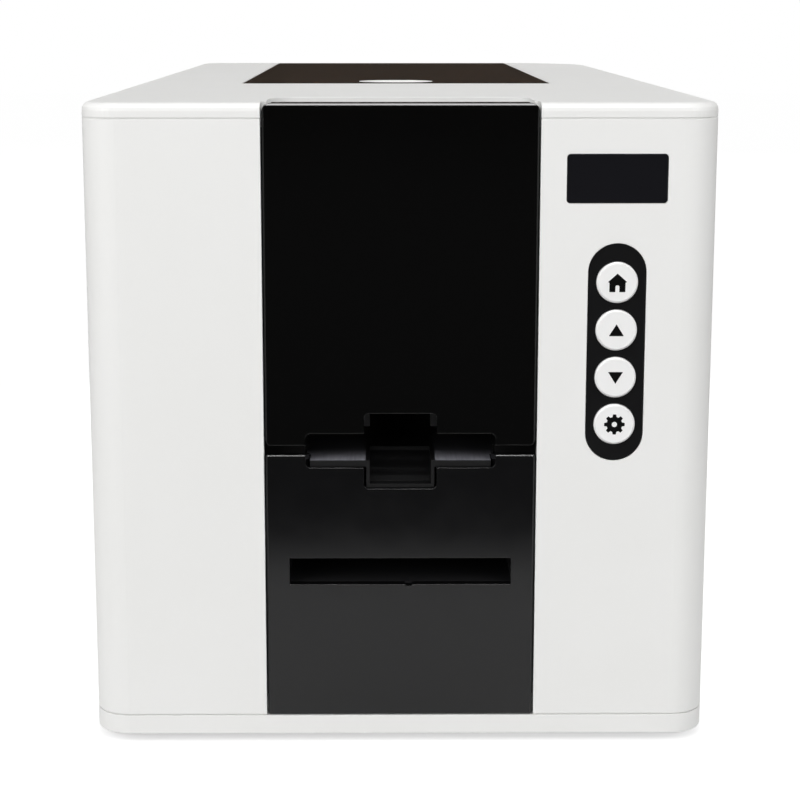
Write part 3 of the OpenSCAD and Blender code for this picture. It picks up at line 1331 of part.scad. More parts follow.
// Rocker switch in the rear cover: V-faced rocker that tips about a cross axis
rocker_tilt = 8;
rocker_y = rear_y - 6;
rocker_pin_r = 1.1;
module rocker_switch() {
    h = rocker_size[1] / 2 - 1.6;
    color(black) translate([rocker_x, rocker_y, jack_z]) rotate([rocker_tilt, 0, 0])
        translate([-rocker_size[0] / 2 + 1.4, 0, 0]) rotate([90, 0, 90])
            linear_extrude(height = rocker_size[0] - 2.8)
                polygon([[0, -h], [5.4, -h + 0.4], [4, 0], [5.4, h - 0.4], [0, h], [-3, 0]]);
    color(black) bar(about(rocker_x, rocker_size[0] - 1), rocker_y, jack_z, rocker_pin_r);
}
module rocker_housing() {
    x = rocker_size[0];
    z = rocker_size[1];
    color(black) difference() {
        union() {
            block(about(rocker_x, x), [rear_y - 16, rear_y + eps], about(jack_z, z));
            block(about(rocker_x, x + 2), [rear_y, rear_y + 0.7], about(jack_z, z + 2));
        }
        block(about(rocker_x, x - 2.2), [rear_y - 12, rear_y + 2], about(jack_z, z - 2));
        bar(about(rocker_x, x - 0.6), rocker_y, jack_z, rocker_pin_r + run);
    }
}

base_tray();
left_cover();
right_cover();
rear_cover();
top_cover();
front_frame();
lower_panel();
card_shelf();
reject_chute();
front_door();
door_liner();
display_window();
front_board();
key_strip();
home_button();
up_button();
down_button();
settings_button();
top_lid();
lid_frame();
head_bracket();
print_head();
head_springs();
bay_frame();
left_chassis();
right_chassis();
tie_rods();
bearings();
card_hopper();
hopper_weight();
card_guides();
diverter_flap();
gate_solenoid();
pick_roller();
exit_roller();
intake_roller();
cleaning_roller();
transport_roller();
platen_roller();
rear_roller();
exit_pinch();
intake_pinch();
transport_pinch();
rear_pinch();
ribbon_cassette();
supply_spool();
take_up_spool();
ribbon_film();
idler_gear();
feeder_pinion();
ribbon_pinion();
motors();
feed_pulley();
drive_belt();
main_board();
rear_ports();
rocker_switch();
cooling_fan();
fan_rotor();
rubber_feet();
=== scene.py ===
import math
import bpy
import bmesh
from mathutils import Matrix, Vector
from mathutils.geometry import tessellate_polygon


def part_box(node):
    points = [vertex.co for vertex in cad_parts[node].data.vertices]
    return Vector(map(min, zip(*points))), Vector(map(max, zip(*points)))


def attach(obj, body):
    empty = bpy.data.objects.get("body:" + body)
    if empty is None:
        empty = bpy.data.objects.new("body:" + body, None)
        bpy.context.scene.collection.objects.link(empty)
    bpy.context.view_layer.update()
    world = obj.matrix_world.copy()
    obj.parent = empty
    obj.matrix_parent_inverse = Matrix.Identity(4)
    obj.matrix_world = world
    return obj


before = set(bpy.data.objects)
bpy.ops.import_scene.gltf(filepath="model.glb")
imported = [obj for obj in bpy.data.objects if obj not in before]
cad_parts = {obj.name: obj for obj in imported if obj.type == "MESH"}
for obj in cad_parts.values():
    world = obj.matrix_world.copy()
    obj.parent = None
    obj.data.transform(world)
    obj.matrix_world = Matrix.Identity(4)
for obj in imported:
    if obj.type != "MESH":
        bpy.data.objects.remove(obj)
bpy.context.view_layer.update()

# Camera. It stands half a metre in front of the printer, just above the level of its top, and looks
# slightly down; a small shift keeps the machine in the middle of the square picture.
MM = 0.001
level_aim = math.radians(90)
tilt_down, turn_right = 0.168, 0.0059
camera = bpy.data.objects.new("camera", bpy.data.cameras.new("camera"))
bpy.context.scene.collection.objects.link(camera)
camera.location = (-6.31 * MM, -694.08 * MM, 222.77 * MM)
camera.rotation_euler = (level_aim - tilt_down, 0, -turn_right)
camera.data.sensor_width = 36
camera.data.lens = 78.33
camera.data.shift_x = 0.0134
camera.data.shift_y = -0.12
bpy.context.scene.camera = camera
bpy.context.scene.view_settings.view_transform = "Standard"


# Table. A pale laminate top that runs out of the picture; the eye sees it as plain white with only
# the machine's soft shadow on it.
def linear(hexcode):
    """The linear colour of an sRGB hex value."""
    parts = [int(hexcode[i:i + 2], 16) / 255 for i in (0, 2, 4)]
    return tuple(c / 12.92 if c <= 0.04045 else ((c + 0.055) / 1.055) ** 2.4 for c in parts) + (1,)


def add(tree, kind, inputs=None, **settings):
    """Adds a node; inputs maps a socket to a value or to the output that feeds it."""
    made = tree.nodes.new(kind)
    for name, value in settings.items():
        setattr(made, name, value)
    for name, value in (inputs or {}).items():
        if isinstance(value, bpy.types.NodeSocket):
            tree.links.new(value, made.inputs[name])
        else:
            made.inputs[name].default_value = value
    return made


def empty_material(name):
    """A material whose node tree is emptied, with no output node yet."""
    made = bpy.data.materials.new(name)
    made.use_nodes = True
    made.node_tree.nodes.clear()
    return made, made.node_tree


def mesh_object(name, points, faces):
    """A new piece from its points, in metres, and its faces."""
    data = bpy.data.meshes.new(name)
    data.from_pydata([Vector(p) for p in points], [], faces)
    data.update()
    made = bpy.data.objects.new(name, data)
    bpy.context.scene.collection.objects.link(made)
    return made


table_reach, table_glow = 4.0, 0.45
table = mesh_object("table_top", [(-table_reach, -table_reach, 0), (table_reach, -table_reach, 0),
                                  (table_reach, table_reach, 0), (-table_reach, table_reach, 0)], [(0, 1, 2, 3)])
laminate, tree = empty_material("pale_laminate")
ray = add(tree, "ShaderNodeLightPath")
lit = add(tree, "ShaderNodeBsdfDiffuse", {"Color": linear("F4F4F4")})
lift = add(tree, "ShaderNodeEmission", {"Color": (1, 1, 1, 1), "Strength": table_glow})
near = add(tree, "ShaderNodeAddShader", {0: lit.outputs[0], 1: lift.outputs[0]})
# Far from the machine the studio floor is dark, which leaves the polished door almost black.
place = add(tree, "ShaderNodeNewGeometry")
reach = add(tree, "ShaderNodeVectorMath", {0: place.outputs["Position"]}, operation="LENGTH")
pale_to, dark_from, pale_share, dark_share = 0.36, 0.40, 0.85, 0.03
fade = add(tree, "ShaderNodeMapRange", {"Value": reach.outputs["Value"], "From Min": pale_to, "From Max": dark_from,
                                        "To Min": pale_share, "To Max": dark_share})
dim = add(tree, "ShaderNodeBsdfDiffuse", {"Color": linear("1A1A1A")})
bright = add(tree, "ShaderNodeEmission", {"Color": (1, 1, 1, 1), "Strength": 1.0})
# The eye sees white, a mirror sees the real top, and light thrown up on the machine is held back.
seen = add(tree, "ShaderNodeMixShader", {0: fade.outputs[0], 1: bright.outputs[0], 2: near.outputs[0]})
unseen = add(tree, "ShaderNodeMixShader", {0: fade.outputs[0], 1: dim.outputs[0], 2: lit.outputs[0]})
grey = add(tree, "ShaderNodeBsdfDiffuse", {"Color": linear("8C8C8C")})
thrown = add(tree, "ShaderNodeMixShader", {0: ray.outputs["Is Diffuse Ray"], 1: unseen.outputs[0],
                                           2: grey.outputs[0]})
pick = add(tree, "ShaderNodeMixShader", {0: ray.outputs["Is Camera Ray"], 1: thrown.outputs[0], 2: seen.outputs[0]})
add(tree, "ShaderNodeOutputMaterial", {"Surface": pick.outputs[0]})
table.data.materials.append(laminate)

# Studio light. A soft panel to each side in front, a weaker one overhead and one behind, in a dim
# room; the backdrop is white to the eye.
def blend(tree, factor, first, second):
    """The colour between two others, each a hex value or an output."""
    mix = add(tree, "ShaderNodeMix", {"Factor": factor}, data_type="RGBA")
    for socket, colour in (("A_Color", first), ("B_Color", second)):
        slot = next(cell for cell in mix.inputs if cell.identifier == socket)
        if isinstance(colour, str):
            slot.default_value = linear(colour)
        else:
            tree.links.new(colour, slot)
    return next(cell for cell in mix.outputs if cell.identifier == "Result_Color")


studio = bpy.data.worlds.new("studio")
bpy.context.scene.world = studio
studio.use_nodes = True
tree = studio.node_tree
tree.nodes.clear()
ray = add(tree, "ShaderNodeLightPath")
aim = add(tree, "ShaderNodeTexCoord")
height = add(tree, "ShaderNodeSeparateXYZ", {0: aim.outputs["Generated"]})
# Low in the room it is nearly dark and a trace warm, which the lid mirrors; higher up it is grey.
low_to, high_from, low_glow, high_glow = 0.05, 0.25, 0.026, 0.42
climb = add(tree, "ShaderNodeMapRange", {"Value": height.outputs["Z"], "From Min": low_to, "From Max": high_from})
above = add(tree, "ShaderNodeMapRange", {"Value": climb.outputs[0], "To Min": low_glow, "To Max": high_glow})
tint = blend(tree, climb.outputs[0], "FFE9D2", "FFFFFF")
room = add(tree, "ShaderNodeBackground", {"Color": tint, "Strength": above.outputs[0]})
paper = add(tree, "ShaderNodeBackground", {"Color": (1, 1, 1, 1), "Strength": 1.0})
direct = add(tree, "ShaderNodeMath", {0: ray.outputs["Is Camera Ray"], 1: ray.outputs["Is Transmission Ray"]},
             operation="MAXIMUM")
either = add(tree, "ShaderNodeMixShader", {0: direct.outputs[0], 1: room.outputs[0], 2: paper.outputs[0]})
add(tree, "ShaderNodeOutputWorld", {"Surface": either.outputs[0]})


def softbox(name, place, width, power, depth=None):
    """A lamp that faces the machine; it is square where no depth is given."""
    lamp = bpy.data.objects.new(name, bpy.data.lights.new(name, "AREA"))
    bpy.context.scene.collection.objects.link(lamp)
    lamp.data.shape = "RECTANGLE"
    lamp.data.size = width
    lamp.data.size_y = depth or width
    lamp.data.energy = power
    lamp.location = place
    lamp.rotation_euler = (Vector(machine_middle) - Vector(place)).to_track_quat("-Z", "Y").to_euler()
    return lamp


machine_middle = (0, 0, 0.1)
softbox("high_panel", (0, -1.1, 1.9), width=1.2, power=3)
# The large panels fill the shadows; kept out of reflections, they leave white faces below clipping.
for name, place, width, power in (("left_panel", (-1.7, -1.5, 1.0), 2.0, 43),
                                  ("right_panel", (1.7, -1.5, 1.0), 2.0, 30),
                                  ("rear_panel", (0.4, 1.9, 0.6), 1.2, 20)):
    softbox(name, place, width, power).visible_glossy = False
# Lamps that only reflections see: a narrow tube for the lines along polished edges, a broad strip
# that the door's rolled top mirrors, and two dim cards for a sheen on the lid seen from behind.
for name, place, width, depth, power in (("edge_tube", (0, -0.75, 1.9), 1.4, 0.05, 9),
                                         ("door_strip", (0, -0.32, 1.9), 1.4, 0.3, 16),
                                         ("left_card", (-1.5, -1.7, 0.9), 1.6, 1.0, 11),
                                         ("right_card", (1.7, -1.5, 0.9), 0.9, 1.0, 6)):
    softbox(name, place, width, power, depth).visible_diffuse = False


# Casing: base tray, side covers, rear cover and top cover. Injection-moulded white ABS with a fine
# spark-eroded skin, soft in gloss, a trace warmer where it has aged; parting edges are broken 0.3 mm.
def along(tree, scale, detail=2.0, roughness=0.5):
    """Cloudy noise fixed to the piece, with its grain size given in millimetres."""
    space = add(tree, "ShaderNodeTexCoord")
    return add(tree, "ShaderNodeTexNoise", {"Vector": space.outputs["Object"], "Scale": 1 / (scale * MM),
                                            "Detail": detail, "Roughness": roughness}).outputs["Fac"]


# Sizes in millimetres, and by how much polished spots are smoother and scuffed ones rougher.
cloud_size, gloss_size, grain_h, polish, scuff = 38, 9, 0.05, 0.03, 0.04


def plastic(name, base, shade, grain, depth, rough, ior, edge=0.15):
    """A moulded plastic: two close tones in broad clouds, a skin of grains, uneven gloss, soft edges."""
    made, tree = empty_material(name)
    tone = blend(tree, along(tree, cloud_size, 3), base, shade)
    skin = along(tree, grain, 3, 0.6)
    soft = add(tree, "ShaderNodeBevel", {"Radius": edge * MM}, samples=6)
    bumps = add(tree, "ShaderNodeBump", {"Strength": depth, "Distance": grain_h * MM, "Height": skin,
                                         "Normal": soft.outputs[0]})
    gloss = add(tree, "ShaderNodeMapRange", {"Value": along(tree, gloss_size), "From Min": 0.2, "From Max": 0.8,
                                             "To Min": rough - polish, "To Max": rough + scuff})
    body = add(tree, "ShaderNodeBsdfPrincipled", {"Base Color": tone, "Roughness": gloss.outputs[0], "IOR": ior,
                                                  "Normal": bumps.outputs[0]})
    add(tree, "ShaderNodeOutputMaterial", {"Surface": body.outputs[0]})
    return made


def dress(material, *names):
    """Gives CAD nodes their finish."""
    for name in names:
        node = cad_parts[name]
        if not node.material_slots:
            node.data.materials.append(material)
        for cell in node.material_slots:
            cell.link = "OBJECT"
            cell.material = material


# The casing's outline in millimetres, as the CAD has it.
half_w, half_d, corner_r, rear_corner_r, strip_half, trough_half, arc_steps = 94, 188, 11, 40, 41, 60.3, 12


def casing_line(inset, level):
    """Points round the casing from one side of the front strip to the other."""
    points = [(strip_half, inset - half_d, level)]
    for side, end, radius, start in ((1, -1, corner_r, -90), (1, 1, rear_corner_r, 0),
                                     (-1, 1, corner_r, 90), (-1, -1, corner_r, 180)):
        for step in range(arc_steps + 1):
            turn = math.radians(start + 90 * step / arc_steps)
            points.append((side * (half_w - radius) + (radius - inset) * math.cos(turn),
                           end * (half_d - radius) + (radius - inset) * math.sin(turn), level))
    return points + [(-strip_half, inset - half_d, level)]


def beside_trough(line, side):
    """The part of a casing line that lies to one side of the lid's hinge trough in the back."""
    kept = []
    walk = line if side > 0 else line[::-1]
    for here, after in zip(walk, walk[1:]):
        kept.append(here)
        if here[1] > 0 and side * after[0] < trough_half:
            share = (side * trough_half - here[0]) / (after[0] - here[0])
            kept.append(tuple(a + share * (b - a) for a, b in zip(here, after)))
            break
    return kept[::side]


def seam_band(name, inset, bottom, top, side=0):
    """The inner rim's tongue, which shows in a seam as a band of that height; a side picks one half."""
    back = inset + tongue_t
    lines = [casing_line(inset, bottom), casing_line(inset, top), casing_line(back, top), casing_line(back, bottom)]
    if side:
        lines = [beside_trough(line, side) for line in lines]
    count = len(lines[0])
    points = [tuple(MM * c for c in point) for line in lines for point in line]
    faces = [(a * count + k, a * count + k + 1, b * count + k + 1, b * count + k)
             for a, b in ((0, 1), (1, 2), (2, 3), (3, 0)) for k in range(count - 1)]
    faces += [tuple(a * count for a in (0, 1, 2, 3)), tuple((a + 1) * count - 1 for a in (3, 2, 1, 0))]
    band = mesh_object(name, points, faces)
    band.data.materials.append(white_abs)
    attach(band, "housing")


white_abs = plastic("white_abs", "EFEFEE", "ECECEA", grain=0.7, depth=0.10, rough=0.46, ior=1.5, edge=0.3)
dress(white_abs, "base_tray", "left_cover", "right_cover", "rear_cover", "top_cover")
# How deep each seam's tongue sits, and the levels of its lower and upper edge.
tongue_t, upper_seam, lower_seam = 1.2, (0.2, 191.2, 191.6), (0.5, 8.85, 9.25)
seam_band("upper_seam_tongue_right", *upper_seam, side=1)
seam_band("upper_seam_tongue_left", *upper_seam, side=-1)
seam_band("lower_seam_tongue", *lower_seam)

# Feet. Soft black rubber pads with a moulded-in pin, pushed into the tray.
foot_rubber = plastic("foot_rubber", "191919", "222222", grain=0.5, depth=0.3, rough=0.75, ior=1.52)
dress(foot_rubber, "rubber_feet")

# Front strip. A black ABS frame closes the gap between the white faces and carries the door, the
# lower panel, the card shelf and the reject chute; matt where a hand never goes.
matt_abs = plastic("matt_black_abs", "1B1B1C", "202022", grain=0.6, depth=0.15, rough=0.5, ior=1.54)
# The front frame shows only set back in the notch and the slots, so it gets a darker copy of the black ABS: painted
# shade for those recesses.
frame_abs_painted_shade = plastic("black_abs_painted_shade", "0C0C0D", "0F0F10", grain=0.6, depth=0.1, rough=0.4, ior=1.5, edge=0.3)
dress(frame_abs_painted_shade, "front_frame")
dress(matt_abs, "reject_chute", "lid_frame", "bay_frame", "card_hopper", "card_guides",
      "diverter_flap", "cooling_fan", "fan_rotor")
satin_abs = plastic("satin_black_abs", "0B0B0C", "0E0E0F", grain=0.4, depth=0.03, rough=0.15, ior=1.52, edge=0.35)
dress(satin_abs, "lower_panel", "door_liner")
gloss_abs = plastic("polished_black_abs", "050505", "060606", grain=6, depth=0.004, rough=0.08, ior=1.49, edge=0.35)
dress(gloss_abs, "front_door", "rocker_switch")


# Card shelf. Black ABS like the frame, with fine scratches along the cards' way out. Its upward faces carry a painted
# grey sheen, painted light from above that is brightest at the front edge and fades into the slot's shade; the finger
# scoop keeps the plain black.
# Painted sheen: how level a face must be to catch it, where it is full and where it has faded, in millimetres behind
# the front edge, and what is left of it there.
nearly_level, sheen_full_to, sheen_fade_to, least_sheen = 0.9, 1, 13, 0.1
scratch_stretch, scratch_scale, scratch_h = (1, 0.04, 1), 1400, 0.04


def painted_sheen_shelf(name, node, scoop_half):
    """Black plastic whose upward faces, outside the scoop, carry painted light: grey, brightest at the front edge."""
    made, tree = empty_material(name)
    space = add(tree, "ShaderNodeTexCoord")
    part = add(tree, "ShaderNodeSeparateXYZ", {0: space.outputs["Object"]})
    facing = add(tree, "ShaderNodeSeparateXYZ", {0: space.outputs["Normal"]})
    upward = add(tree, "ShaderNodeMath", {0: facing.outputs["Z"], 1: nearly_level}, operation="GREATER_THAN")
    width = add(tree, "ShaderNodeMath", {0: part.outputs["X"]}, operation="ABSOLUTE")
    beside = add(tree, "ShaderNodeMath", {0: width.outputs[0], 1: scoop_half * MM}, operation="GREATER_THAN")
    top = add(tree, "ShaderNodeMath", {0: upward.outputs[0], 1: beside.outputs[0]}, operation="MULTIPLY")
    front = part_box(node)[0].y
    # Painted light that fades from the front edge back into the slot's shade.
    sheen_falloff = add(tree, "ShaderNodeMapRange", {"Value": part.outputs["Y"], "From Min": front + sheen_full_to * MM,
                                            "From Max": front + sheen_fade_to * MM, "To Min": 1.0, "To Max": least_sheen})
    sheen_mask = add(tree, "ShaderNodeMath", {0: top.outputs[0], 1: sheen_falloff.outputs[0]}, operation="MULTIPLY")
    stretch = add(tree, "ShaderNodeMapping", {"Vector": space.outputs["Object"], "Scale": scratch_stretch})
    scratch = add(tree, "ShaderNodeTexNoise", {"Vector": stretch.outputs[0], "Scale": scratch_scale, "Detail": 2})
    # Black where no painted light falls; the painted sheen is two greys, streaked by the scratches.
    tone = blend(tree, sheen_mask.outputs[0], "0B0B0C", blend(tree, scratch.outputs["Fac"], "5A5A60", "96969E"))
    bumps = add(tree, "ShaderNodeBump", {"Strength": 0.06, "Distance": scratch_h * MM,
                                         "Height": scratch.outputs["Fac"]})
    body = add(tree, "ShaderNodeBsdfPrincipled", {"Base Color": tone, "Roughness": 0.42, "Normal": bumps.outputs[0]})
    add(tree, "ShaderNodeOutputMaterial", {"Surface": body.outputs[0]})
    dress(made, node)


painted_sheen_shelf("black_abs_painted_sheen", "card_shelf", scoop_half=10.5)

# Display. A black-printed acrylic window, flush with the front, over a dark liquid-crystal panel.
acrylic = plastic("printed_acrylic", "141417", "16161A", grain=8, depth=0.002, rough=0.12, ior=1.49)
dress(acrylic, "display_window")
solder_mask = plastic("green_solder_mask", "14401C", "123A1A", grain=1.2, depth=0.1, rough=0.3, ior=1.5)
dress(solder_mask, "front_board")

# Keys. Four round caps of white ABS in a black strip; each sign is pad-printed in matt black ink.
strip_abs = plastic("key_strip_abs", "101011", "131314", grain=0.5, depth=0.02, rough=0.3, ior=1.4)
dress(strip_abs, "key_strip")
key_abs = plastic("white_key_abs", "F4F4F4", "F1F1F0", grain=0.5, depth=0.05, rough=0.33, ior=1.54)
keys = {"home": "home_button", "up": "up_button", "down": "down_button", "settings": "settings_button"}
dress(key_abs, *keys.values())
ink = plastic("matt_black_ink", "050505", "070707", grain=0.3, depth=0.05, rough=0.45, ior=1.25)
ink_t = 0.04
tooth_count, root_r, tip_r, root_half, tip_half, hub_r, hub_points = 8, 2.35, 3.1, 0.34, 0.19, 0.8, 24


def ring(radius, count):
    """Points round a circle; the radius is in millimetres."""
    turns = [2 * math.pi * k / count for k in range(count)]
    return [(radius * math.cos(turn), radius * math.sin(turn)) for turn in turns]


def gear_sign():
    """Blunt teeth round a hub; each runs from its foot over its tip to its other foot."""
    points = []
    for k in range(tooth_count):
        for part, radius in ((-root_half, root_r), (-tip_half, tip_r), (tip_half, tip_r), (root_half, root_r)):
            turn = 2 * math.pi * (k + part) / tooth_count
            points.append((radius * math.cos(turn), radius * math.sin(turn)))
    return points


house = [(0, 2.75), (2.8, 0.25), (2.35, 0.0), (2.35, -2.75), (0.6, -2.75), (0.6, -1.1), (0.35, -0.75), (-0.35, -0.75),
         (-0.6, -1.1), (-0.6, -2.75), (-2.35, -2.75), (-2.35, 0.0), (-2.8, 0.25)]
signs = {"home": [house], "up": [[(0, 1.85), (-2.2, -1.7), (2.2, -1.7)]],
         "down": [[(0, -1.85), (2.2, 1.7), (-2.2, 1.7)]], "settings": [gear_sign(), ring(hub_r, hub_points)]}
for name, loops in signs.items():
    low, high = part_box(keys[name])
    middle = (low + high) / 2
    flat = [point for loop in loops for point in loop]
    count = len(flat)
    points = [(middle.x + x * MM, low.y + out * MM, middle.z + z * MM) for out in (-ink_t, ink_t) for x, z in flat]
    front = tessellate_polygon([[(x, z, 0) for x, z in loop] for loop in loops])
    faces = list(front) + [tuple(count + k for k in face[::-1]) for face in front]
    start = 0
    for loop in loops:
        walk = [start + k for k in range(len(loop))]
        faces += [(a, b, b + count, a + count) for a, b in zip(walk, walk[1:] + walk[:1])]
        start += len(loop)
    sign = mesh_object("sign_" + name, points, faces)
    sheet = bmesh.new()
    sheet.from_mesh(sign.data)
    bmesh.ops.recalc_face_normals(sheet, faces=sheet.faces)
    sheet.to_mesh(sign.data)
    sheet.free()
    sign.data.materials.append(ink)
    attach(sign, name + "_key")

# Lid. Smoked polycarbonate sheet, polished, with a rolled rear edge that turns in the top cover.
smoked, tree = empty_material("smoked_polycarbonate")
waves = add(tree, "ShaderNodeBump", {"Strength": 0.008, "Distance": 0.1 * MM, "Height": along(tree, 14)})
sheet_body = add(tree, "ShaderNodeBsdfPrincipled", {"Base Color": linear("4A3324"), "Roughness": 0.06, "IOR": 1.585,
                                                    "Transmission Weight": 0.7, "Normal": waves.outputs[0]})
add(tree, "ShaderNodeOutputMaterial", {"Surface": sheet_body.outputs[0]})
dress(smoked, "top_lid")


# Chassis: two pressed and folded steel plates, tied by round bars. Zinc-plated, with the mill's fine
# grain along the sheet and a faint uneven bloom in the zinc.
line_scale, line_h, line_strength, bloom_size = 900, 0.03, 0.05, 12


def metal(name, base, shade, stretch, rough):
    """A drawn, rolled or turned metal with fine lines; stretch says how the grain runs in X, Y and Z."""
    made, tree = empty_material(name)
    space = add(tree, "ShaderNodeTexCoord")
    run = add(tree, "ShaderNodeMapping", {"Vector": space.outputs["Object"], "Scale": stretch})
    lines = add(tree, "ShaderNodeTexNoise", {"Vector": run.outputs[0], "Scale": line_scale, "Detail": 3})
    tone = blend(tree, along(tree, bloom_size, 3), base, shade)
    gloss = add(tree, "ShaderNodeMapRange", {"Value": lines.outputs["Fac"], "From Min": 0.3, "From Max": 0.7,
                                             "To Min": rough - 0.06, "To Max": rough + 0.08})
    bumps = add(tree, "ShaderNodeBump", {"Strength": line_strength, "Distance": line_h * MM,
                                         "Height": lines.outputs["Fac"]})
    body = add(tree, "ShaderNodeBsdfPrincipled", {"Base Color": tone, "Metallic": 1.0,
                                                  "Roughness": gloss.outputs[0], "Normal": bumps.outputs[0]})
    add(tree, "ShaderNodeOutputMaterial", {"Surface": body.outputs[0]})
    return made


zinc_steel = metal("zinc_plated_steel", "B9BCBF", "A6A9AD", stretch=(1, 0.06, 1), rough=0.34)
dress(zinc_steel, "left_chassis", "right_chassis", "tie_rods", "head_bracket", "hopper_weight")
spring_wire = metal("drawn_spring_wire", "9A9DA1", "8B8E92", stretch=(1, 1, 0.2), rough=0.3)
dress(spring_wire, "head_springs")
milled_alloy = metal("milled_aluminium", "C9CBCD", "BDBFC2", stretch=(0.05, 1, 1), rough=0.3)
dress(milled_alloy, "print_head", "feed_pulley")
bronze = metal("sintered_bronze", "A8834F", "94703F", stretch=(1, 1, 1), rough=0.45)
dress(bronze, "bearings", "feeder_pinion", "ribbon_pinion")


# Rollers: ground rubber sleeves on turned steel shafts; the gears and pulleys on them are moulded.
ground_grain, ground_steel, ground_rough, ivory, acetal_rough = 0.4, "C4C6C8", 0.25, "E4E0D2", 0.38


def fitted(name, node, sleeve, sleeve_rough, shaft, shaft_rough, shaft_radius, end_from=40):
    """A sleeve pressed on a shaft, seen by its distance from the axis, with moulded ends outboard."""
    low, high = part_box(node)
    axis_y, axis_z = (low.y + high.y) / 2, (low.z + high.z) / 2
    made, tree = empty_material(name)
    space = add(tree, "ShaderNodeTexCoord")
    part = add(tree, "ShaderNodeSeparateXYZ", {0: space.outputs["Object"]})
    out = add(tree, "ShaderNodeCombineXYZ", {"Y": part.outputs["Y"], "Z": part.outputs["Z"]})
    off = add(tree, "ShaderNodeVectorMath", {0: out.outputs[0], 1: (0, axis_y, axis_z)}, operation="DISTANCE")
    bare = add(tree, "ShaderNodeMath", {0: off.outputs["Value"], 1: shaft_radius * MM}, operation="LESS_THAN")
    width = add(tree, "ShaderNodeMath", {0: part.outputs["X"]}, operation="ABSOLUTE")
    outer = add(tree, "ShaderNodeMath", {0: width.outputs[0], 1: end_from * MM}, operation="GREATER_THAN")
    skin = along(tree, ground_grain, 3)
    tone = blend(tree, bare.outputs[0], blend(tree, outer.outputs[0], sleeve, ivory), shaft)
    dull = add(tree, "ShaderNodeMapRange", {"Value": bare.outputs[0], "To Min": sleeve_rough, "To Max": shaft_rough})
    bumps = add(tree, "ShaderNodeBump", {"Strength": 0.15, "Distance": grain_h * MM, "Height": skin})
    body = add(tree, "ShaderNodeBsdfPrincipled", {"Base Color": tone, "Metallic": bare.outputs[0],
                                                  "Roughness": dull.outputs[0], "Normal": bumps.outputs[0]})
    add(tree, "ShaderNodeOutputMaterial", {"Surface": body.outputs[0]})
    dress(made, node)


for name in ("pick_roller", "exit_roller", "intake_roller", "transport_roller", "platen_roller", "rear_roller"):
    fitted("rubber_on_" + name, name, "262627", 0.7, ground_steel, ground_rough, shaft_radius=3.1)
fitted("tacky_silicone_sleeve", "cleaning_roller", "7FA8C0", 0.35, ground_steel, ground_rough, shaft_radius=1.6)
for name in ("exit_pinch", "intake_pinch", "transport_pinch", "rear_pinch"):
    fitted("acetal_on_" + name, name, ivory, acetal_rough, ground_steel, ground_rough, shaft_radius=1.6)
acetal = plastic("natural_acetal", ivory, "DAD6C7", grain=0.9, depth=0.1, rough=acetal_rough, ior=1.48)
dress(acetal, "idler_gear", "ribbon_cassette")
belt_rubber = plastic("ground_rubber", "262627", "2C2C2D", grain=0.35, depth=0.35, rough=0.7, ior=1.52)
dress(belt_rubber, "drive_belt")

# Ribbon. Dye film wound on ivory cores; the film is thin, dark and shiny with a faint blue cast.
dye_film = plastic("dye_film", "14141C", "1A1A26", grain=4, depth=0.05, rough=0.15, ior=1.6)
dress(dye_film, "ribbon_film")
for name in ("supply_spool", "take_up_spool"):
    fitted("film_on_" + name, name, "14141C", 0.18, ivory, 0.4, shaft_radius=0, end_from=31)
motor_coat = plastic("coated_motor_can", "3A3A3C", "434345", grain=0.5, depth=0.2, rough=0.45, ior=1.5)
dress(motor_coat, "motors", "gate_solenoid")


# Board and sockets. Green solder mask with black chips and tinned cans; the sockets' steel shells
# stand in the upper two openings, black nylon in the lower ones.
def parted(name, node, axis, limit, inner, outer, inner_rough, outer_rough, outer_metal):
    """Two finishes on one node, told apart by a limit along one axis, in millimetres."""
    made, tree = empty_material(name)
    space = add(tree, "ShaderNodeTexCoord")
    part = add(tree, "ShaderNodeSeparateXYZ", {0: space.outputs["Object"]})
    past = add(tree, "ShaderNodeMath", {0: part.outputs[axis], 1: limit * MM}, operation="GREATER_THAN")
    tone = blend(tree, past.outputs[0], inner, outer)
    dull = add(tree, "ShaderNodeMapRange", {"Value": past.outputs[0], "To Min": inner_rough, "To Max": outer_rough})
    shine = add(tree, "ShaderNodeMath", {0: past.outputs[0], 1: outer_metal}, operation="MULTIPLY")
    bumps = add(tree, "ShaderNodeBump", {"Strength": 0.1, "Distance": grain_h * MM, "Height": along(tree, 0.8, 3)})
    body = add(tree, "ShaderNodeBsdfPrincipled", {"Base Color": tone, "Metallic": shine.outputs[0],
                                                  "Roughness": dull.outputs[0], "Normal": bumps.outputs[0]})
    add(tree, "ShaderNodeOutputMaterial", {"Surface": body.outputs[0]})
    dress(made, node)


board_face, shells_from = -76.3, 50
parted("board_with_chips", "main_board", "X", board_face, "14401C", "242426",
       inner_rough=0.3, outer_rough=0.35, outer_metal=0.0)
parted("steel_socket_shells", "rear_ports", "Z", shells_from, "141415", "B4B6B8",
       inner_rough=0.45, outer_rough=0.3, outer_metal=1.0)

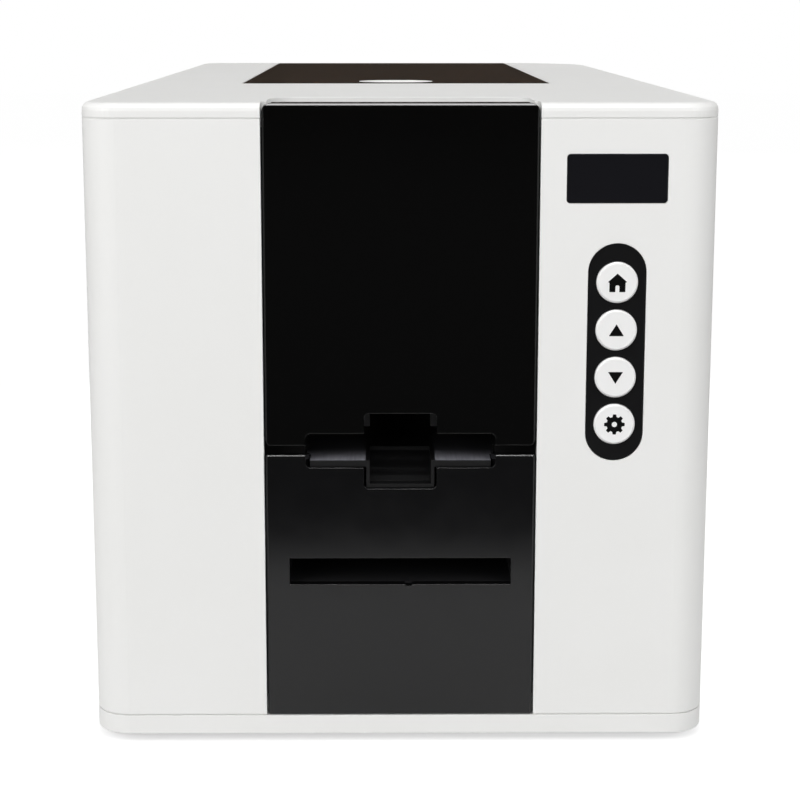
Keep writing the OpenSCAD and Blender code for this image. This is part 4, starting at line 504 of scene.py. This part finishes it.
# Rear screws. Four zinc-plated steel screws with raised countersunk heads hold the rear cover to the
# chassis; each head's dome has a pressed cross recess, and every one stopped at its own angle.
head_r, head_h, recess_l, recess_w, recess_floor, around = 3.1, 0.66, 3.6, 0.8, 0.08, 48


def screw_head(name, x, level, turn):
    """The raised part of a countersunk head, its cross recess cut in; it stands on the rear face."""
    dome = bmesh.new()
    profile = [(1, -0.5), (1, 0.05), (0.93, 0.24), (0.72, 0.46), (0.4, head_h)]
    rings = [[dome.verts.new((MM * px, MM * py, MM * up)) for px, py in ring(share * head_r, around)]
             for share, up in profile]
    for low, high in zip(rings, rings[1:]):
        for k in range(around):
            dome.faces.new((low[k], low[(k + 1) % around], high[(k + 1) % around], high[k]))
    dome.faces.new(rings[-1])
    dome.faces.new(rings[0][::-1])
    data = bpy.data.meshes.new(name)
    dome.to_mesh(data)
    dome.free()
    made = bpy.data.objects.new(name, data)
    bpy.context.scene.collection.objects.link(made)
    long, wide = recess_l / 2, recess_w / 2
    plan = [(long, wide), (wide, wide), (wide, long), (-wide, long), (-wide, wide), (-long, wide),
            (-long, -wide), (-wide, -wide), (-wide, -long), (wide, -long), (wide, -wide), (long, -wide)]
    count = len(plan)
    corners = [(MM * px, MM * py, MM * up) for up in (recess_floor, head_h + 1) for px, py in plan]
    sides = [(k, (k + 1) % count, (k + 1) % count + count, k + count) for k in range(count)]
    bit = mesh_object("recess_bit", corners, sides + [tuple(range(count))[::-1], tuple(range(count, 2 * count))])
    cut = made.modifiers.new("recess", "BOOLEAN")
    cut.object = bit
    bpy.context.view_layer.objects.active = made
    bpy.ops.object.modifier_apply(modifier="recess")
    bpy.data.objects.remove(bit)
    data.materials.append(zinc_steel)
    for face in data.polygons:
        face.use_smooth = True
    data.set_sharp_from_angle(angle=math.radians(30))
    stand = Matrix.Rotation(math.radians(-90), 4, "X") @ Matrix.Rotation(math.radians(turn), 4, "Z")
    data.transform(Matrix.Translation((MM * x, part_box("rear_cover")[1].y, MM * level)) @ stand)
    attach(made, "housing")


for name, x, level, turn in (("screw_low_left", -79, 17, 12), ("screw_low_right", 44, 17, 50),
                             ("screw_high_left", -79, 176, 78), ("screw_high_right", 44, 176, 33)):
    screw_head(name, x, level, turn)
